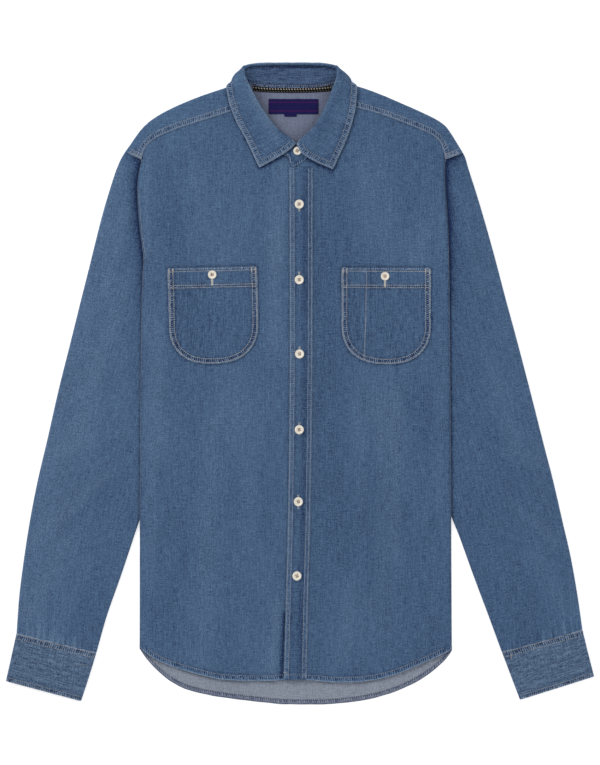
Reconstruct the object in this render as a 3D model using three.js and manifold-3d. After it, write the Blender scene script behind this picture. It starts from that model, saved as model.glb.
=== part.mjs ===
// A long-sleeved denim shirt, laid flat on its back with the front facing up.
// Millimetres, +Z up off the surface, +Y towards the collar, +X to the viewer's right.
// The origin is the middle of the bounding box, on the surface the shirt lies on.
// The wearer's right side lies at -X. Every cloth piece is a closed wall: a grid of
// points for the face that shows, a second grid behind it, and a rim that joins them.

import * as THREE from "three";
import { mergeVertices } from "three/addons/utils/BufferGeometryUtils.js";
import Module from "manifold-3d";

const wasm = await Module();
wasm.setup();

// Driving sizes
const CLOTH = 1.2;
const COLLAR_CLOTH = 1.6;
const CUFF_CLOTH = 1.7;
const PLACKET_CLOTH = 1.4;
const SEAM_GAP = 0.3;
const FLOOR_LIFT_UNDER_BODY = 3.3;
const SLEEVE_PRESSED = 2.9;
const SLEEVE_LOFT = 6.0;
const CUFF_LOFT = 5.6;
const SIDE_ROLL = 5.0;
const FRONT_SLACK = 1.2;
const HEM_DEPTH = 9.0;
const YOKE_SEAM_Y = 291.0;
const YOKE_SEAM_GAP = 0.6;
const BUTTON_RADIUS = 6.2;
const POCKET_BUTTON_RADIUS = 5.8;
const BUTTON_HEIGHT = 2.4;

// Colours, roughness as on washed denim
const denim = (hex) => new THREE.MeshStandardMaterial({ color: hex, roughness: 0.95, metalness: 0 });
const materials = {
  denim: denim(0x4b6284),
  inside: denim(0x84899a),
  button: new THREE.MeshStandardMaterial({ color: 0xe6dccb, roughness: 0.35, metalness: 0 }),
  tape: denim(0x35312e),
  label: denim(0x231d4c),
};

// Side edges of the body, from the hem up past the underarm to the shoulder
const BODY_SIDES = [
  { y: -346.0, left: -208.3, right: 197.2 },
  { y: -171.0, left: -208.0, right: 196.3 },
  { y: -21.5, left: -206.9, right: 195.2 },
  { y: 108.6, left: -205.2, right: 194.0 },
  { y: 143.7, left: -204.0, right: 193.6 },
  { y: 159.0, left: -202.8, right: 193.3 },
  { y: 190.5, left: -207.2, right: 193.0 },
  { y: 221.7, left: -210.3, right: 191.6 },
  { y: 254.0, left: -211.8, right: 189.2 },
  { y: 270.0, left: -210.3, right: 188.6 },
  { y: 291.0, left: -206.0, right: 189.0 },
];
const UNDERARM_Y = 159.0;

// Hem lines, as y for each x
const FRONT_HEM = [
  { x: -208.5, y: -343.0 },
  { x: -192.5, y: -355.5 },
  { x: -176.0, y: -363.8 },
  { x: -151.0, y: -372.5 },
  { x: -126.0, y: -379.3 },
  { x: -101.0, y: -384.6 },
  { x: -68.0, y: -386.2 },
  { x: -35.0, y: -386.0 },
  { x: -18.0, y: -384.6 },
  { x: 10.5, y: -385.2 },
  { x: 47.0, y: -388.2 },
  { x: 77.0, y: -387.5 },
  { x: 102.0, y: -384.0 },
  { x: 127.0, y: -377.2 },
  { x: 150.0, y: -367.5 },
  { x: 175.0, y: -356.5 },
  { x: 197.5, y: -345.5 },
];
const BACK_HEM = [
  { x: -208.5, y: -344.5 },
  { x: -200.5, y: -356.0 },
  { x: -184.0, y: -374.0 },
  { x: -167.5, y: -387.2 },
  { x: -148.0, y: -397.0 },
  { x: -118.0, y: -404.6 },
  { x: -85.0, y: -409.6 },
  { x: -51.5, y: -413.6 },
  { x: -18.5, y: -416.4 },
  { x: 19.0, y: -416.8 },
  { x: 60.5, y: -414.4 },
  { x: 90.0, y: -409.8 },
  { x: 115.0, y: -403.0 },
  { x: 143.5, y: -391.6 },
  { x: 168.0, y: -376.8 },
  { x: 188.0, y: -359.5 },
  { x: 197.5, y: -347.0 },
];

// Upper edge of each front from its armhole to its neck corner: the front yoke seam
const FRONT_SEAM = {
  right: [
    { x: -206.6, y: 291.6 },
    { x: -204.3, y: 299.8 },
    { x: -200.0, y: 308.6 },
    { x: -190.5, y: 317.6 },
    { x: -174.2, y: 325.8 },
    { x: -148.2, y: 335.7 },
    { x: -122.2, y: 343.8 },
    { x: -90.0, y: 354.4 },
    { x: -72.8, y: 360.8 },
  ],
  left: [
    { x: 54.0, y: 363.2 },
    { x: 82.0, y: 357.0 },
    { x: 107.0, y: 349.7 },
    { x: 132.0, y: 340.7 },
    { x: 156.0, y: 331.0 },
    { x: 174.5, y: 321.8 },
    { x: 182.8, y: 312.7 },
    { x: 187.0, y: 300.9 },
    { x: 189.4, y: 291.8 },
  ],
};
// Neckline of each front, from one end to the other
const NECKLINE = {
  right: [
    { x: -72.8, y: 360.8 },
    { x: -62.4, y: 340.0 },
    { x: -41.6, y: 312.7 },
    { x: -22.9, y: 297.7 },
    { x: 15.1, y: 276.2 },
  ],
  left: [
    { x: -23.5, y: 276.2 },
    { x: 14.4, y: 297.7 },
    { x: 32.0, y: 312.7 },
    { x: 48.0, y: 340.0 },
    { x: 54.0, y: 363.2 },
  ],
};
// Middle line of the collar, which leans to the wearer's right towards the neck
const COLLAR_MIDDLE = [
  { y: 276.0, x: -4.4 },
  { y: 300.0, x: -4.6 },
  { y: 318.0, x: -4.8 },
  { y: 333.0, x: -6.6 },
  { y: 368.0, x: -9.8 },
  { y: 411.0, x: -12.4 },
];

// Edges of the buttonhole band down the front
const PLACKET_EDGES = [
  { y: -386.0, left: -22.3, right: 8.6 },
  { y: -325.7, left: -20.8, right: 9.6 },
  { y: -136.0, left: -16.3, right: 14.1 },
  { y: 56.5, left: -14.5, right: 16.2 },
  { y: 286.0, left: -15.1, right: 16.6 },
];

// Soft folds of the fronts, as ridges (+) and troughs (-) between two points
const FRONT_FOLDS = [
  { name: "trough under the right pocket", x0: -150, y0: 20, x1: -166, y1: -290, width: 17, height: -0.7 },
  { name: "ridge beside the right side seam", x0: -186, y0: 60, x1: -188, y1: -250, width: 15, height: 0.7 },
  { name: "ridge inside the right pocket", x0: -82, y0: 20, x1: -92, y1: -320, width: 30, height: 0.8 },
  { name: "trough beside the band", x0: 52, y0: 190, x1: 36, y1: -240, width: 20, height: -0.8 },
  { name: "ridge under the left pocket", x0: 108, y0: 10, x1: 96, y1: -310, width: 30, height: 0.8 },
  { name: "trough beside the left side seam", x0: 158, y0: -10, x1: 160, y1: -260, width: 16, height: -0.5 },
  { name: "ridge on the right chest", x0: -120, y0: 300, x1: -95, y1: 175, width: 26, height: 0.7 },
  { name: "trough from the right armhole", x0: -182, y0: 240, x1: -150, y1: 165, width: 13, height: -0.6 },
  { name: "ridge on the left chest", x0: 98, y0: 300, x1: 118, y1: 175, width: 26, height: 0.7 },
  { name: "crease above the left pocket", x0: 60, y0: 250, x1: 62, y1: 158, width: 7, height: -0.6 },
  { name: "fold beside the foot of the band", x0: -29, y0: -292, x1: -38, y1: -378, width: 7, height: 1.0 },
];

// Smooth step from 0 at a to 1 at b
const ease = (a, b, value) => THREE.MathUtils.smoothstep((value - a) / (b - a), 0, 1);

// A column of a table at a place between its rows: straight lines between rows
function along(rows, key, place, column) {
  const last = rows.length - 1;
  if (place <= rows[0][key]) return rows[0][column];
  if (place >= rows[last][key]) return rows[last][column];
  const i = rows.findIndex((row) => row[key] > place);
  const share = (place - rows[i - 1][key]) / (rows[i][key] - rows[i - 1][key]);
  return rows[i - 1][column] + share * (rows[i][column] - rows[i - 1][column]);
}

const collarMiddle = (y) => along(COLLAR_MIDDLE, "y", y, "x");
const bodyLeft = (y) => along(BODY_SIDES, "y", y, "left");
const bodyRight = (y) => along(BODY_SIDES, "y", y, "right");
const sideDistance = (x, y) => Math.max(0, Math.min(x - bodyLeft(y), bodyRight(y) - x));

// How far the back is held up near its sides, where the sleeves pass under it
function backLift(x, y) {
  const along_side = ease(190.5, 160, y) * ease(-211, -178, y);
  const across = 1 - ease(27, 52, sideDistance(x, y));
  return FLOOR_LIFT_UNDER_BODY * along_side * across;
}

// Height of one fold at a point: a bell across it, fading out past its two ends
function foldHeight(fold, x, y) {
  const dx = fold.x1 - fold.x0;
  const dy = fold.y1 - fold.y0;
  const length = Math.hypot(dx, dy);
  const run = ((x - fold.x0) * dx + (y - fold.y0) * dy) / length;
  const off = ((x - fold.x0) * dy - (y - fold.y0) * dx) / length;
  const beyond = Math.max(0, -run, run - length);
  return fold.height * Math.exp(-((off / fold.width) ** 2) - (beyond / (1.6 * fold.width)) ** 2);
}

// Room between the back and the front, fuller by the rolled side edges
function slack(x, y) {
  const edge_roll = 0.9 * Math.exp(-(((sideDistance(x, y) - 10) / 16) ** 2));
  const folds = FRONT_FOLDS.reduce((sum, fold) => sum + foldHeight(fold, x, y), 0);
  return Math.max(0.1, FRONT_SLACK + edge_roll + folds);
}

// Height of the front's upper face, without the overlap under the band
function frontHeight(x, y) {
  return backLift(x, y) + CLOTH + SEAM_GAP + slack(x, y) + CLOTH;
}

// A closed wall from two grids of points, faces outwards: front shows, behind doesn't.
// With round set, each row is a loop, and only the first and last rows have a rim.
function wall(front, behind, round = false) {
  const rows = front.length;
  const columns = front[0].length;
  const positions = [];
  for (const p of [front, behind].flat(2)) positions.push(p.x, p.y, p.z);
  const at = (layer, i, j) => (layer * rows + i) * columns + (j % columns);
  const index = [];
  const quad = (a, b, c, d) => index.push(a, b, c, a, c, d);
  const spans = round ? columns : columns - 1;
  for (let i = 0; i < rows - 1; i++) {
    for (let j = 0; j < spans; j++) {
      quad(at(0, i, j), at(0, i, j + 1), at(0, i + 1, j + 1), at(0, i + 1, j));
      quad(at(1, i, j), at(1, i + 1, j), at(1, i + 1, j + 1), at(1, i, j + 1));
    }
  }
  for (let j = 0; j < spans; j++) {
    quad(at(0, 0, j), at(1, 0, j), at(1, 0, j + 1), at(0, 0, j + 1));
    quad(at(0, rows - 1, j), at(0, rows - 1, j + 1), at(1, rows - 1, j + 1), at(1, rows - 1, j));
  }
  if (!round) {
    for (let i = 0; i < rows - 1; i++) {
      quad(at(0, i, 0), at(0, i + 1, 0), at(1, i + 1, 0), at(1, i, 0));
      const last = columns - 1;
      quad(at(0, i, last), at(1, i, last), at(1, i + 1, last), at(0, i + 1, last));
    }
  }
  const geometry = new THREE.BufferGeometry();
  geometry.setAttribute("position", new THREE.Float32BufferAttribute(positions, 3));
  geometry.setIndex(index);
  return facingOut(geometry);
}

// The volume inside a closed mesh, negative when its faces point inwards
function signedVolume(geometry) {
  const p = geometry.getAttribute("position");
  const index = geometry.getIndex();
  const [a, b, c] = [0, 1, 2].map(() => new THREE.Vector3());
  let sum = 0;
  for (let i = 0; i < index.count; i += 3) {
    a.fromBufferAttribute(p, index.getX(i));
    b.fromBufferAttribute(p, index.getX(i + 1));
    c.fromBufferAttribute(p, index.getX(i + 2));
    sum += a.dot(b.cross(c)) / 6;
  }
  return sum;
}

// The same mesh with its faces pointing out
function facingOut(geometry) {
  if (signedVolume(geometry) < 0) {
    const index = geometry.getIndex();
    for (let i = 0; i < index.count; i += 3) {
      const second = index.getX(i + 1);
      index.setX(i + 1, index.getX(i + 2));
      index.setX(i + 2, second);
    }
  }
  return geometry;
}

// A geometry as a solid that can be joined and cut
function solidOf(geometry) {
  const bare = new THREE.BufferGeometry();
  bare.setAttribute("position", geometry.getAttribute("position"));
  bare.setIndex(geometry.getIndex());
  const merged = mergeVertices(bare, 1e-4);
  const mesh = new wasm.Mesh({
    numProp: 3,
    vertProperties: merged.getAttribute("position").array,
    triVerts: new Uint32Array(merged.getIndex().array),
  });
  return new wasm.Manifold(mesh);
}

// A solid back as a geometry
function geometryOf(solid) {
  const mesh = solid.getMesh();
  const geometry = new THREE.BufferGeometry();
  geometry.setAttribute("position", new THREE.BufferAttribute(mesh.vertProperties, 3));
  geometry.setIndex(new THREE.BufferAttribute(mesh.triVerts, 1));
  return geometry;
}

const point = (x, y, z) => new THREE.Vector3(x, y, z);

// The grid lowered by a thickness, straight down
const lowered = (grid, thickness) => grid.map((row) => row.map((p) => point(p.x, p.y, p.z - thickness)));

// The grid moved back along its own normals
function movedBack(grid, thickness) {
  const rows = grid.length;
  const columns = grid[0].length;
  return grid.map((row, i) =>
    row.map((p, j) => {
      const across = grid[i][Math.min(j + 1, columns - 1)].clone().sub(grid[i][Math.max(j - 1, 0)]);
      const down = grid[Math.min(i + 1, rows - 1)][j].clone().sub(grid[Math.max(i - 1, 0)][j]);
      return p.clone().addScaledVector(across.cross(down).normalize(), thickness);
    }),
  );
}

// Height of a grid's flat triangles at a place seen from above, or null outside it
function heightOn(grid, x, y) {
  let highest = null;
  for (let i = 0; i < grid.length - 1; i++) {
    for (let j = 0; j < grid[0].length - 1; j++) {
      const corners = [grid[i][j], grid[i][j + 1], grid[i + 1][j + 1], grid[i + 1][j]];
      for (const [a, b, c] of [corners.slice(0, 3), [corners[0], corners[2], corners[3]]]) {
        const area = (b.x - a.x) * (c.y - a.y) - (c.x - a.x) * (b.y - a.y);
        if (Math.abs(area) < 1e-9) continue;
        const share_b = ((x - a.x) * (c.y - a.y) - (c.x - a.x) * (y - a.y)) / area;
        const share_c = ((b.x - a.x) * (y - a.y) - (x - a.x) * (b.y - a.y)) / area;
        if (share_b < -1e-6 || share_c < -1e-6 || share_b + share_c > 1 + 1e-6) continue;
        highest = Math.max(highest ?? -Infinity, a.z + share_b * (b.z - a.z) + share_c * (c.z - a.z));
      }
    }
  }
  return highest;
}

const shirt = new THREE.Group();

function addPiece(name, geometry, material) {
  const mesh = new THREE.Mesh(geometry, material);
  mesh.name = name;
  shirt.add(mesh);
}

// Level rows shared by the back and the fronts, between the hem and the chest
const LEVEL_ROWS = [
  -330, -292, -252, -211, -178, -140, -100, -60, -20, 20, 60, 100, 132, 159, 190.5, 221.7, 254, 270,
];

// Back below the yoke: flat on the surface, lifted only over the sleeves
function backGrid() {
  const from_side = [0, 12, 27, 40, 53];
  const middle = [0.14, 0.29, 0.43, 0.57, 0.71, 0.86];
  const row = (yAt) => {
    const left = bodyLeft(yAt(-208));
    const right = bodyRight(yAt(197));
    const inner_left = left + from_side.at(-1);
    const inner_right = right - from_side.at(-1);
    const xs = [
      ...from_side.map((d) => left + d),
      ...middle.map((f) => inner_left + f * (inner_right - inner_left)),
      ...from_side.toReversed().map((d) => right - d),
    ];
    return xs.map((x) => point(x, yAt(x), backLift(x, yAt(x))));
  };
  const hem = (x) => along(BACK_HEM, "x", x, "y");
  return [
    row(hem),
    row((x) => hem(x) + 0.5 * (LEVEL_ROWS[0] - hem(x))),
    ...LEVEL_ROWS.map((y) => row(() => y)),
    row(() => YOKE_SEAM_Y),
  ];
}

const back_under = backGrid();
addPiece("back", wall(lowered(back_under, -CLOTH), back_under), materials.denim);

// Upper edge of a front at x: the lower of its yoke seam and its neckline
function frontTop(side, x) {
  const seam = along(side < 0 ? FRONT_SEAM.right : FRONT_SEAM.left, "x", x, "y") - YOKE_SEAM_GAP;
  const neck = along(side < 0 ? NECKLINE.right : NECKLINE.left, "x", x, "y") - SEAM_GAP;
  return Math.min(seam, neck);
}

// One front, from its rolled side edge to its centre edge under the band: side is -1
// or 1. The left front lies over the right front under the band.
function frontGrids(side) {
  const edge = side < 0 ? bodyLeft : bodyRight;
  const bandLeft = (y) => along(PLACKET_EDGES, "y", y, "left") + 1.5;
  const bandRight = (y) => along(PLACKET_EDGES, "y", y, "right");
  const overlap = (x, y) => (side < 0 ? 0 : (CLOTH + 2 * SEAM_GAP) * ease(10, 1, x - bandRight(y)));
  const height = (x, y) => frontHeight(x, y) + overlap(x, y);
  const outer = [];
  const inner = [];
  const addRow = (yAt) => {
    const y_side = yAt(edge(yAt(side * 200)));
    const x_side = edge(y_side);
    const x_roll = x_side - side * SIDE_ROLL;
    const base = backLift(x_side, y_side) + CLOTH + SEAM_GAP;
    const rise = height(x_roll, y_side) - base;
    const outer_row = [];
    const inner_row = [];
    for (const degrees of [0, 28, 58, 90]) {
      const angle = THREE.MathUtils.degToRad(degrees);
      const out = SIDE_ROLL * (1 - Math.cos(angle));
      const back_by = CLOTH + (SIDE_ROLL - CLOTH) * (1 - Math.cos(angle));
      outer_row.push(point(x_side - side * out, yAt(x_side), base + rise * Math.sin(angle)));
      inner_row.push(point(x_side - side * back_by, yAt(x_side), base + (rise - CLOTH) * Math.sin(angle)));
    }
    const y_band = yAt(0);
    const centre =
      side < 0
        ? [bandLeft(y_band), bandRight(y_band) - 1.5]
        : [bandRight(y_band) + 10, bandRight(y_band) + 1, bandRight(y_band) - 1.5, bandLeft(y_band)];
    const corner = side < 0 ? FRONT_SEAM.right.at(-1).x : FRONT_SEAM.left[0].x;
    const between = (from, to, shares) => shares.map((f) => from + f * (to - from));
    const panel = [
      ...between(x_roll, corner, [0.06, 0.17, 0.3, 0.5, 0.75, 1]),
      ...between(corner, centre[0], side < 0 ? [0.33, 0.67] : [0.5]),
    ];
    for (const x of [...panel, ...centre]) {
      outer_row.push(point(x, yAt(x), height(x, yAt(x))));
      inner_row.push(point(x, yAt(x), height(x, yAt(x)) - CLOTH));
    }
    outer.push(outer_row);
    inner.push(inner_row);
  };
  const hem = (x) => along(FRONT_HEM, "x", x, "y");
  const last = LEVEL_ROWS.at(-1);
  addRow(hem);
  addRow((x) => Math.min(hem(x) + HEM_DEPTH, hem(x) + 0.5 * (LEVEL_ROWS[0] - hem(x))));
  for (const y of LEVEL_ROWS) addRow(() => y);
  for (const share of [0.3, 0.65, 1]) addRow((x) => last + share * (frontTop(side, x) - last));
  return { outer, inner };
}

const right_front = frontGrids(-1);
const left_front = frontGrids(1);
addPiece("front_right", wall(right_front.outer, right_front.inner), materials.denim);
addPiece("front_left", wall(left_front.outer, left_front.inner), materials.denim);

// A strip or patch on a panel: its columns and rows are moved out from the panel's face
function patchOn(panel, rows, thicknessAt, clearance = SEAM_GAP) {
  const under = rows.map((row) => row.map(([x, y]) => point(x, y, heightOn(panel, x, y) + clearance)));
  const over = under.map((row, i) => row.map((p) => point(p.x, p.y, p.z + thicknessAt(i))));
  return wall(over, under);
}

// Buttonhole band, from the hem to the collar stand
function placketRows() {
  const ys = [-384.3, -360, ...LEVEL_ROWS, 266, 281];
  return ys.map((y) => {
    const left = along(PLACKET_EDGES, "y", y, "left") + 1.6;
    const right = along(PLACKET_EDGES, "y", y, "right");
    return [0, 0.22, 0.78, 1].map((f) => [left + f * (right - left), y]);
  });
}
addPiece("placket", patchOn(left_front.outer, placketRows(), () => PLACKET_CLOTH), materials.denim);

// Chest pockets: straight top, round foot, and a deeper turned hem along the mouth
const POCKETS = [
  { name: "pocket_right", panel: right_front, x: -113.2, top: 150.8, width: 115.0, tilt: 0.016 },
  { name: "pocket_left", panel: left_front, x: 112.0, top: 150.4, width: 115.0, tilt: -0.004 },
];
const POCKET_DEPTH = 125.0;
const POCKET_HEM = 23.0;
const POCKET_CORNER = 52.0;
const POCKET_CLOTH = 1.2;

function pocketRows(pocket) {
  const straight = [0, 12, POCKET_HEM - 0.8, POCKET_HEM, 38, 54, POCKET_DEPTH - POCKET_CORNER];
  const curved = [0.3, 0.55, 0.75, 0.9, 0.985].map((q) => POCKET_DEPTH - POCKET_CORNER * (1 - q));
  const half_width = (depth) => {
    const q = Math.max(0, (depth - (POCKET_DEPTH - POCKET_CORNER)) / POCKET_CORNER);
    return (pocket.width / 2) * (1 - q ** 2.4) ** (1 / 2.4);
  };
  return [...straight, ...curved].map((depth) =>
    [-1, -0.6, -0.2, 0.2, 0.6, 1].map((f) => {
      const x = pocket.x + f * half_width(depth);
      return [x, pocket.top + pocket.tilt * (x - pocket.x) - depth];
    }),
  );
}
for (const pocket of POCKETS) {
  const thickness = (i) => (i < 3 ? POCKET_CLOTH + 0.6 : POCKET_CLOTH);
  addPiece(pocket.name, patchOn(pocket.panel.outer, pocketRows(pocket), thickness, 0.4), materials.denim);
}

// Shoulder fold, front seam and back seam of the yoke, from the neck to the armhole
const YOKE_RIGHT = [
  { fold_x: -78.0, fold_y: 390.7, seam_x: -72.8, seam_y: 360.8, back_x: -72.8 },
  { fold_x: -96.2, fold_y: 384.7, seam_x: -90.0, seam_y: 354.4, back_x: -90.0 },
  { fold_x: -127.9, fold_y: 374.1, seam_x: -122.2, seam_y: 343.8, back_x: -122.2 },
  { fold_x: -154.4, fold_y: 363.5, seam_x: -148.2, seam_y: 335.7, back_x: -148.2 },
  { fold_x: -181.0, fold_y: 350.4, seam_x: -174.2, seam_y: 325.8, back_x: -174.2 },
  { fold_x: -196.8, fold_y: 339.7, seam_x: -190.5, seam_y: 317.6, back_x: -188.0 },
  { fold_x: -207.5, fold_y: 329.0, seam_x: -200.0, seam_y: 308.6, back_x: -198.0 },
  { fold_x: -220.7, fold_y: 310.4, seam_x: -204.3, seam_y: 299.8, back_x: -203.5 },
  { fold_x: -227.4, fold_y: 301.2, seam_x: -206.4, seam_y: 291.6, back_x: -206.0 },
];
const YOKE_LEFT = [
  { fold_x: 56.0, fold_y: 390.7, seam_x: 54.0, seam_y: 363.2, back_x: 54.0 },
  { fold_x: 80.6, fold_y: 384.7, seam_x: 82.0, seam_y: 357.0, back_x: 82.0 },
  { fold_x: 104.5, fold_y: 376.1, seam_x: 107.0, seam_y: 349.7, back_x: 107.0 },
  { fold_x: 131.0, fold_y: 364.8, seam_x: 132.0, seam_y: 340.7, back_x: 132.0 },
  { fold_x: 157.6, fold_y: 353.0, seam_x: 156.0, seam_y: 331.0, back_x: 156.0 },
  { fold_x: 178.9, fold_y: 342.3, seam_x: 174.5, seam_y: 321.8, back_x: 172.0 },
  { fold_x: 189.4, fold_y: 334.4, seam_x: 182.8, seam_y: 312.7, back_x: 180.5 },
  { fold_x: 205.4, fold_y: 310.4, seam_x: 187.0, seam_y: 300.9, back_x: 186.0 },
  { fold_x: 211.9, fold_y: 299.8, seam_x: 189.2, seam_y: 291.8, back_x: 189.0 },
];
const YOKE_RISE = 0.5;
const SHOULDER_ROLL = 5.0;

// The part of the yoke that wraps a shoulder: back seam, fold, then the front seam.
// Each column is a path in the upright plane through the three points of its row.
function shoulderWrap(stations) {
  const outer = [];
  const inner = [];
  for (const s of stations) {
    const fold = new THREE.Vector2(s.fold_x, s.fold_y);
    const seam = new THREE.Vector2(s.seam_x, s.seam_y);
    const back = new THREE.Vector2(s.back_x, YOKE_SEAM_Y + SEAM_GAP);
    const to_seam = seam.clone().sub(fold);
    const to_back = back.clone().sub(fold);
    const height = (p) => frontHeight(p.x, p.y) + YOKE_RISE;
    const outer_path = [];
    const inner_path = [];
    const add = (path, flat, z) => path.push(point(flat.x, flat.y, z));
    const on = (toward, distance) => fold.clone().addScaledVector(toward.clone().normalize(), distance);
    for (const f of [1, 0.6, 0.3]) {
      const flat = fold.clone().addScaledVector(to_back, f);
      add(outer_path, flat, 0);
      add(inner_path, flat, CLOTH);
    }
    const full = height(on(to_seam, SHOULDER_ROLL));
    for (const degrees of [-90, -45, 0, 45, 90]) {
      const angle = THREE.MathUtils.degToRad(degrees);
      const toward = degrees < 0 ? to_back : to_seam;
      const out = SHOULDER_ROLL * (1 - Math.cos(angle));
      const back_by = CLOTH + (SHOULDER_ROLL - CLOTH) * (1 - Math.cos(angle));
      add(outer_path, on(toward, out), (full / 2) * (1 + Math.sin(angle)));
      add(inner_path, on(toward, back_by), full / 2 + (full / 2 - CLOTH) * Math.sin(angle));
    }
    for (const f of [0.6, 1]) {
      const flat = fold.clone().addScaledVector(to_seam, f);
      add(outer_path, flat, height(flat));
      add(inner_path, flat, height(flat) - CLOTH);
    }
    outer.push(outer_path);
    inner.push(inner_path);
  }
  return solidOf(wall(outer, inner));
}

// Neckline of the back, from shoulder to shoulder
const BACK_NECK = [
  { x: -80.0, y: 386.5 },
  { x: -74.0, y: 387.6 },
  { x: -62.0, y: 386.0 },
  { x: -50.0, y: 384.6 },
  { x: -32.0, y: 383.7 },
  { x: -11.0, y: 383.4 },
  { x: 10.0, y: 383.7 },
  { x: 28.0, y: 384.6 },
  { x: 41.0, y: 386.0 },
  { x: 52.0, y: 387.6 },
  { x: 58.0, y: 386.5 },
];
function yokeMiddle() {
  const seam_y = YOKE_SEAM_Y + SEAM_GAP;
  const columns = BACK_NECK.map((neck) => {
    const foot_x = neck.x + 0.06 * (collarMiddle(neck.y) - neck.x);
    return [0, 0.5, 1].map((f) => point(foot_x + f * (neck.x - foot_x), seam_y + f * (neck.y - seam_y), 0));
  });
  return solidOf(wall(lowered(columns, -CLOTH), columns));
}
const yoke = shoulderWrap(YOKE_RIGHT).add(yokeMiddle()).add(shoulderWrap(YOKE_LEFT));
addPiece("yoke", geometryOf(yoke), materials.denim);

// Sleeve sections from the armhole to the cuff: a point on each side of the sleeve
const SLEEVE_RIGHT = [
  { outer_x: -224.5, outer_y: 309.0, inner_x: -195.0, inner_y: 301.0 },
  { outer_x: -231.5, outer_y: 294.5, inner_x: -188.0, inner_y: 285.0 },
  { outer_x: -238.0, outer_y: 280.2, inner_x: -186.0, inner_y: 270.0 },
  { outer_x: -248.3, outer_y: 249.0, inner_x: -184.0, inner_y: 238.6 },
  { outer_x: -257.4, outer_y: 217.8, inner_x: -182.0, inner_y: 207.4 },
  { outer_x: -266.5, outer_y: 182.0, inner_x: -183.0, inner_y: 171.6 },
  { outer_x: -273.0, outer_y: 155.4, inner_x: -186.0, inner_y: 146.0 },
  { outer_x: -283.5, outer_y: 113.8, inner_x: -184.0, inner_y: 100.8 },
  { outer_x: -299.0, outer_y: 51.4, inner_x: -182.5, inner_y: 34.5 },
  { outer_x: -314.6, outer_y: -11.1, inner_x: -184.0, inner_y: -30.6 },
  { outer_x: -329.0, outer_y: -74.8, inner_x: -190.0, inner_y: -95.6 },
  { outer_x: -341.5, outer_y: -128.1, inner_x: -200.8, inner_y: -151.5 },
  { outer_x: -351.3, outer_y: -178.8, inner_x: -216.5, inner_y: -201.0 },
  { outer_x: -358.8, outer_y: -226.9, inner_x: -233.4, inner_y: -251.6 },
  { outer_x: -365.3, outer_y: -278.9, inner_x: -251.6, inner_y: -303.6 },
  { outer_x: -368.6, outer_y: -324.6, inner_x: -264.6, inner_y: -349.6 },
];
const SLEEVE_LEFT = [
  { outer_x: 209.5, outer_y: 308.0, inner_x: 178.0, inner_y: 301.0 },
  { outer_x: 214.5, outer_y: 294.5, inner_x: 171.0, inner_y: 285.0 },
  { outer_x: 218.6, outer_y: 280.2, inner_x: 169.0, inner_y: 270.0 },
  { outer_x: 228.8, outer_y: 249.0, inner_x: 168.0, inner_y: 238.6 },
  { outer_x: 238.2, outer_y: 217.8, inner_x: 169.0, inner_y: 207.4 },
  { outer_x: 248.8, outer_y: 180.5, inner_x: 171.0, inner_y: 171.6 },
  { outer_x: 255.6, outer_y: 155.4, inner_x: 175.5, inner_y: 146.0 },
  { outer_x: 266.5, outer_y: 113.8, inner_x: 172.0, inner_y: 100.8 },
  { outer_x: 283.4, outer_y: 51.4, inner_x: 170.5, inner_y: 34.5 },
  { outer_x: 299.7, outer_y: -11.1, inner_x: 172.0, inner_y: -30.6 },
  { outer_x: 315.9, outer_y: -74.8, inner_x: 178.5, inner_y: -95.6 },
  { outer_x: 329.6, outer_y: -128.1, inner_x: 189.6, inner_y: -151.5 },
  { outer_x: 341.3, outer_y: -178.8, inner_x: 208.0, inner_y: -201.0 },
  { outer_x: 352.3, outer_y: -226.9, inner_x: 226.2, inner_y: -251.6 },
  { outer_x: 361.4, outer_y: -278.9, inner_x: 245.7, inner_y: -303.6 },
  { outer_x: 367.3, outer_y: -320.0, inner_x: 262.2, inner_y: -348.6 },
];
const CUFF_RIGHT = [
  { outer_x: -368.7, outer_y: -325.1, inner_x: -264.8, inner_y: -350.1 },
  { outer_x: -375.3, outer_y: -355.0, inner_x: -274.0, inner_y: -380.5 },
  { outer_x: -382.3, outer_y: -386.3, inner_x: -284.5, inner_y: -412.3 },
];
const CUFF_LEFT = [
  { outer_x: 367.4, outer_y: -320.5, inner_x: 262.5, inner_y: -349.1 },
  { outer_x: 374.5, outer_y: -349.5, inner_x: 274.0, inner_y: -379.5 },
  { outer_x: 382.3, outer_y: -380.3, inner_x: 285.8, inner_y: -410.6 },
];
const TUBE_FOLD = 4.5;
const TUBE_SHARES = [0.12, 0.3, 0.5, 0.7, 0.88, 1];

// Share of the way across a sleeve section at which it meets the body's edge
function edgeShare(section, side) {
  const edge = side < 0 ? bodyLeft : bodyRight;
  let share = 0.8;
  for (let i = 0; i < 4; i++) {
    const y = section.outer_y + share * (section.inner_y - section.outer_y);
    share = (edge(y) - section.outer_x) / (section.inner_x - section.outer_x);
  }
  return THREE.MathUtils.clamp(share, 0.5, 0.9);
}

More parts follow.
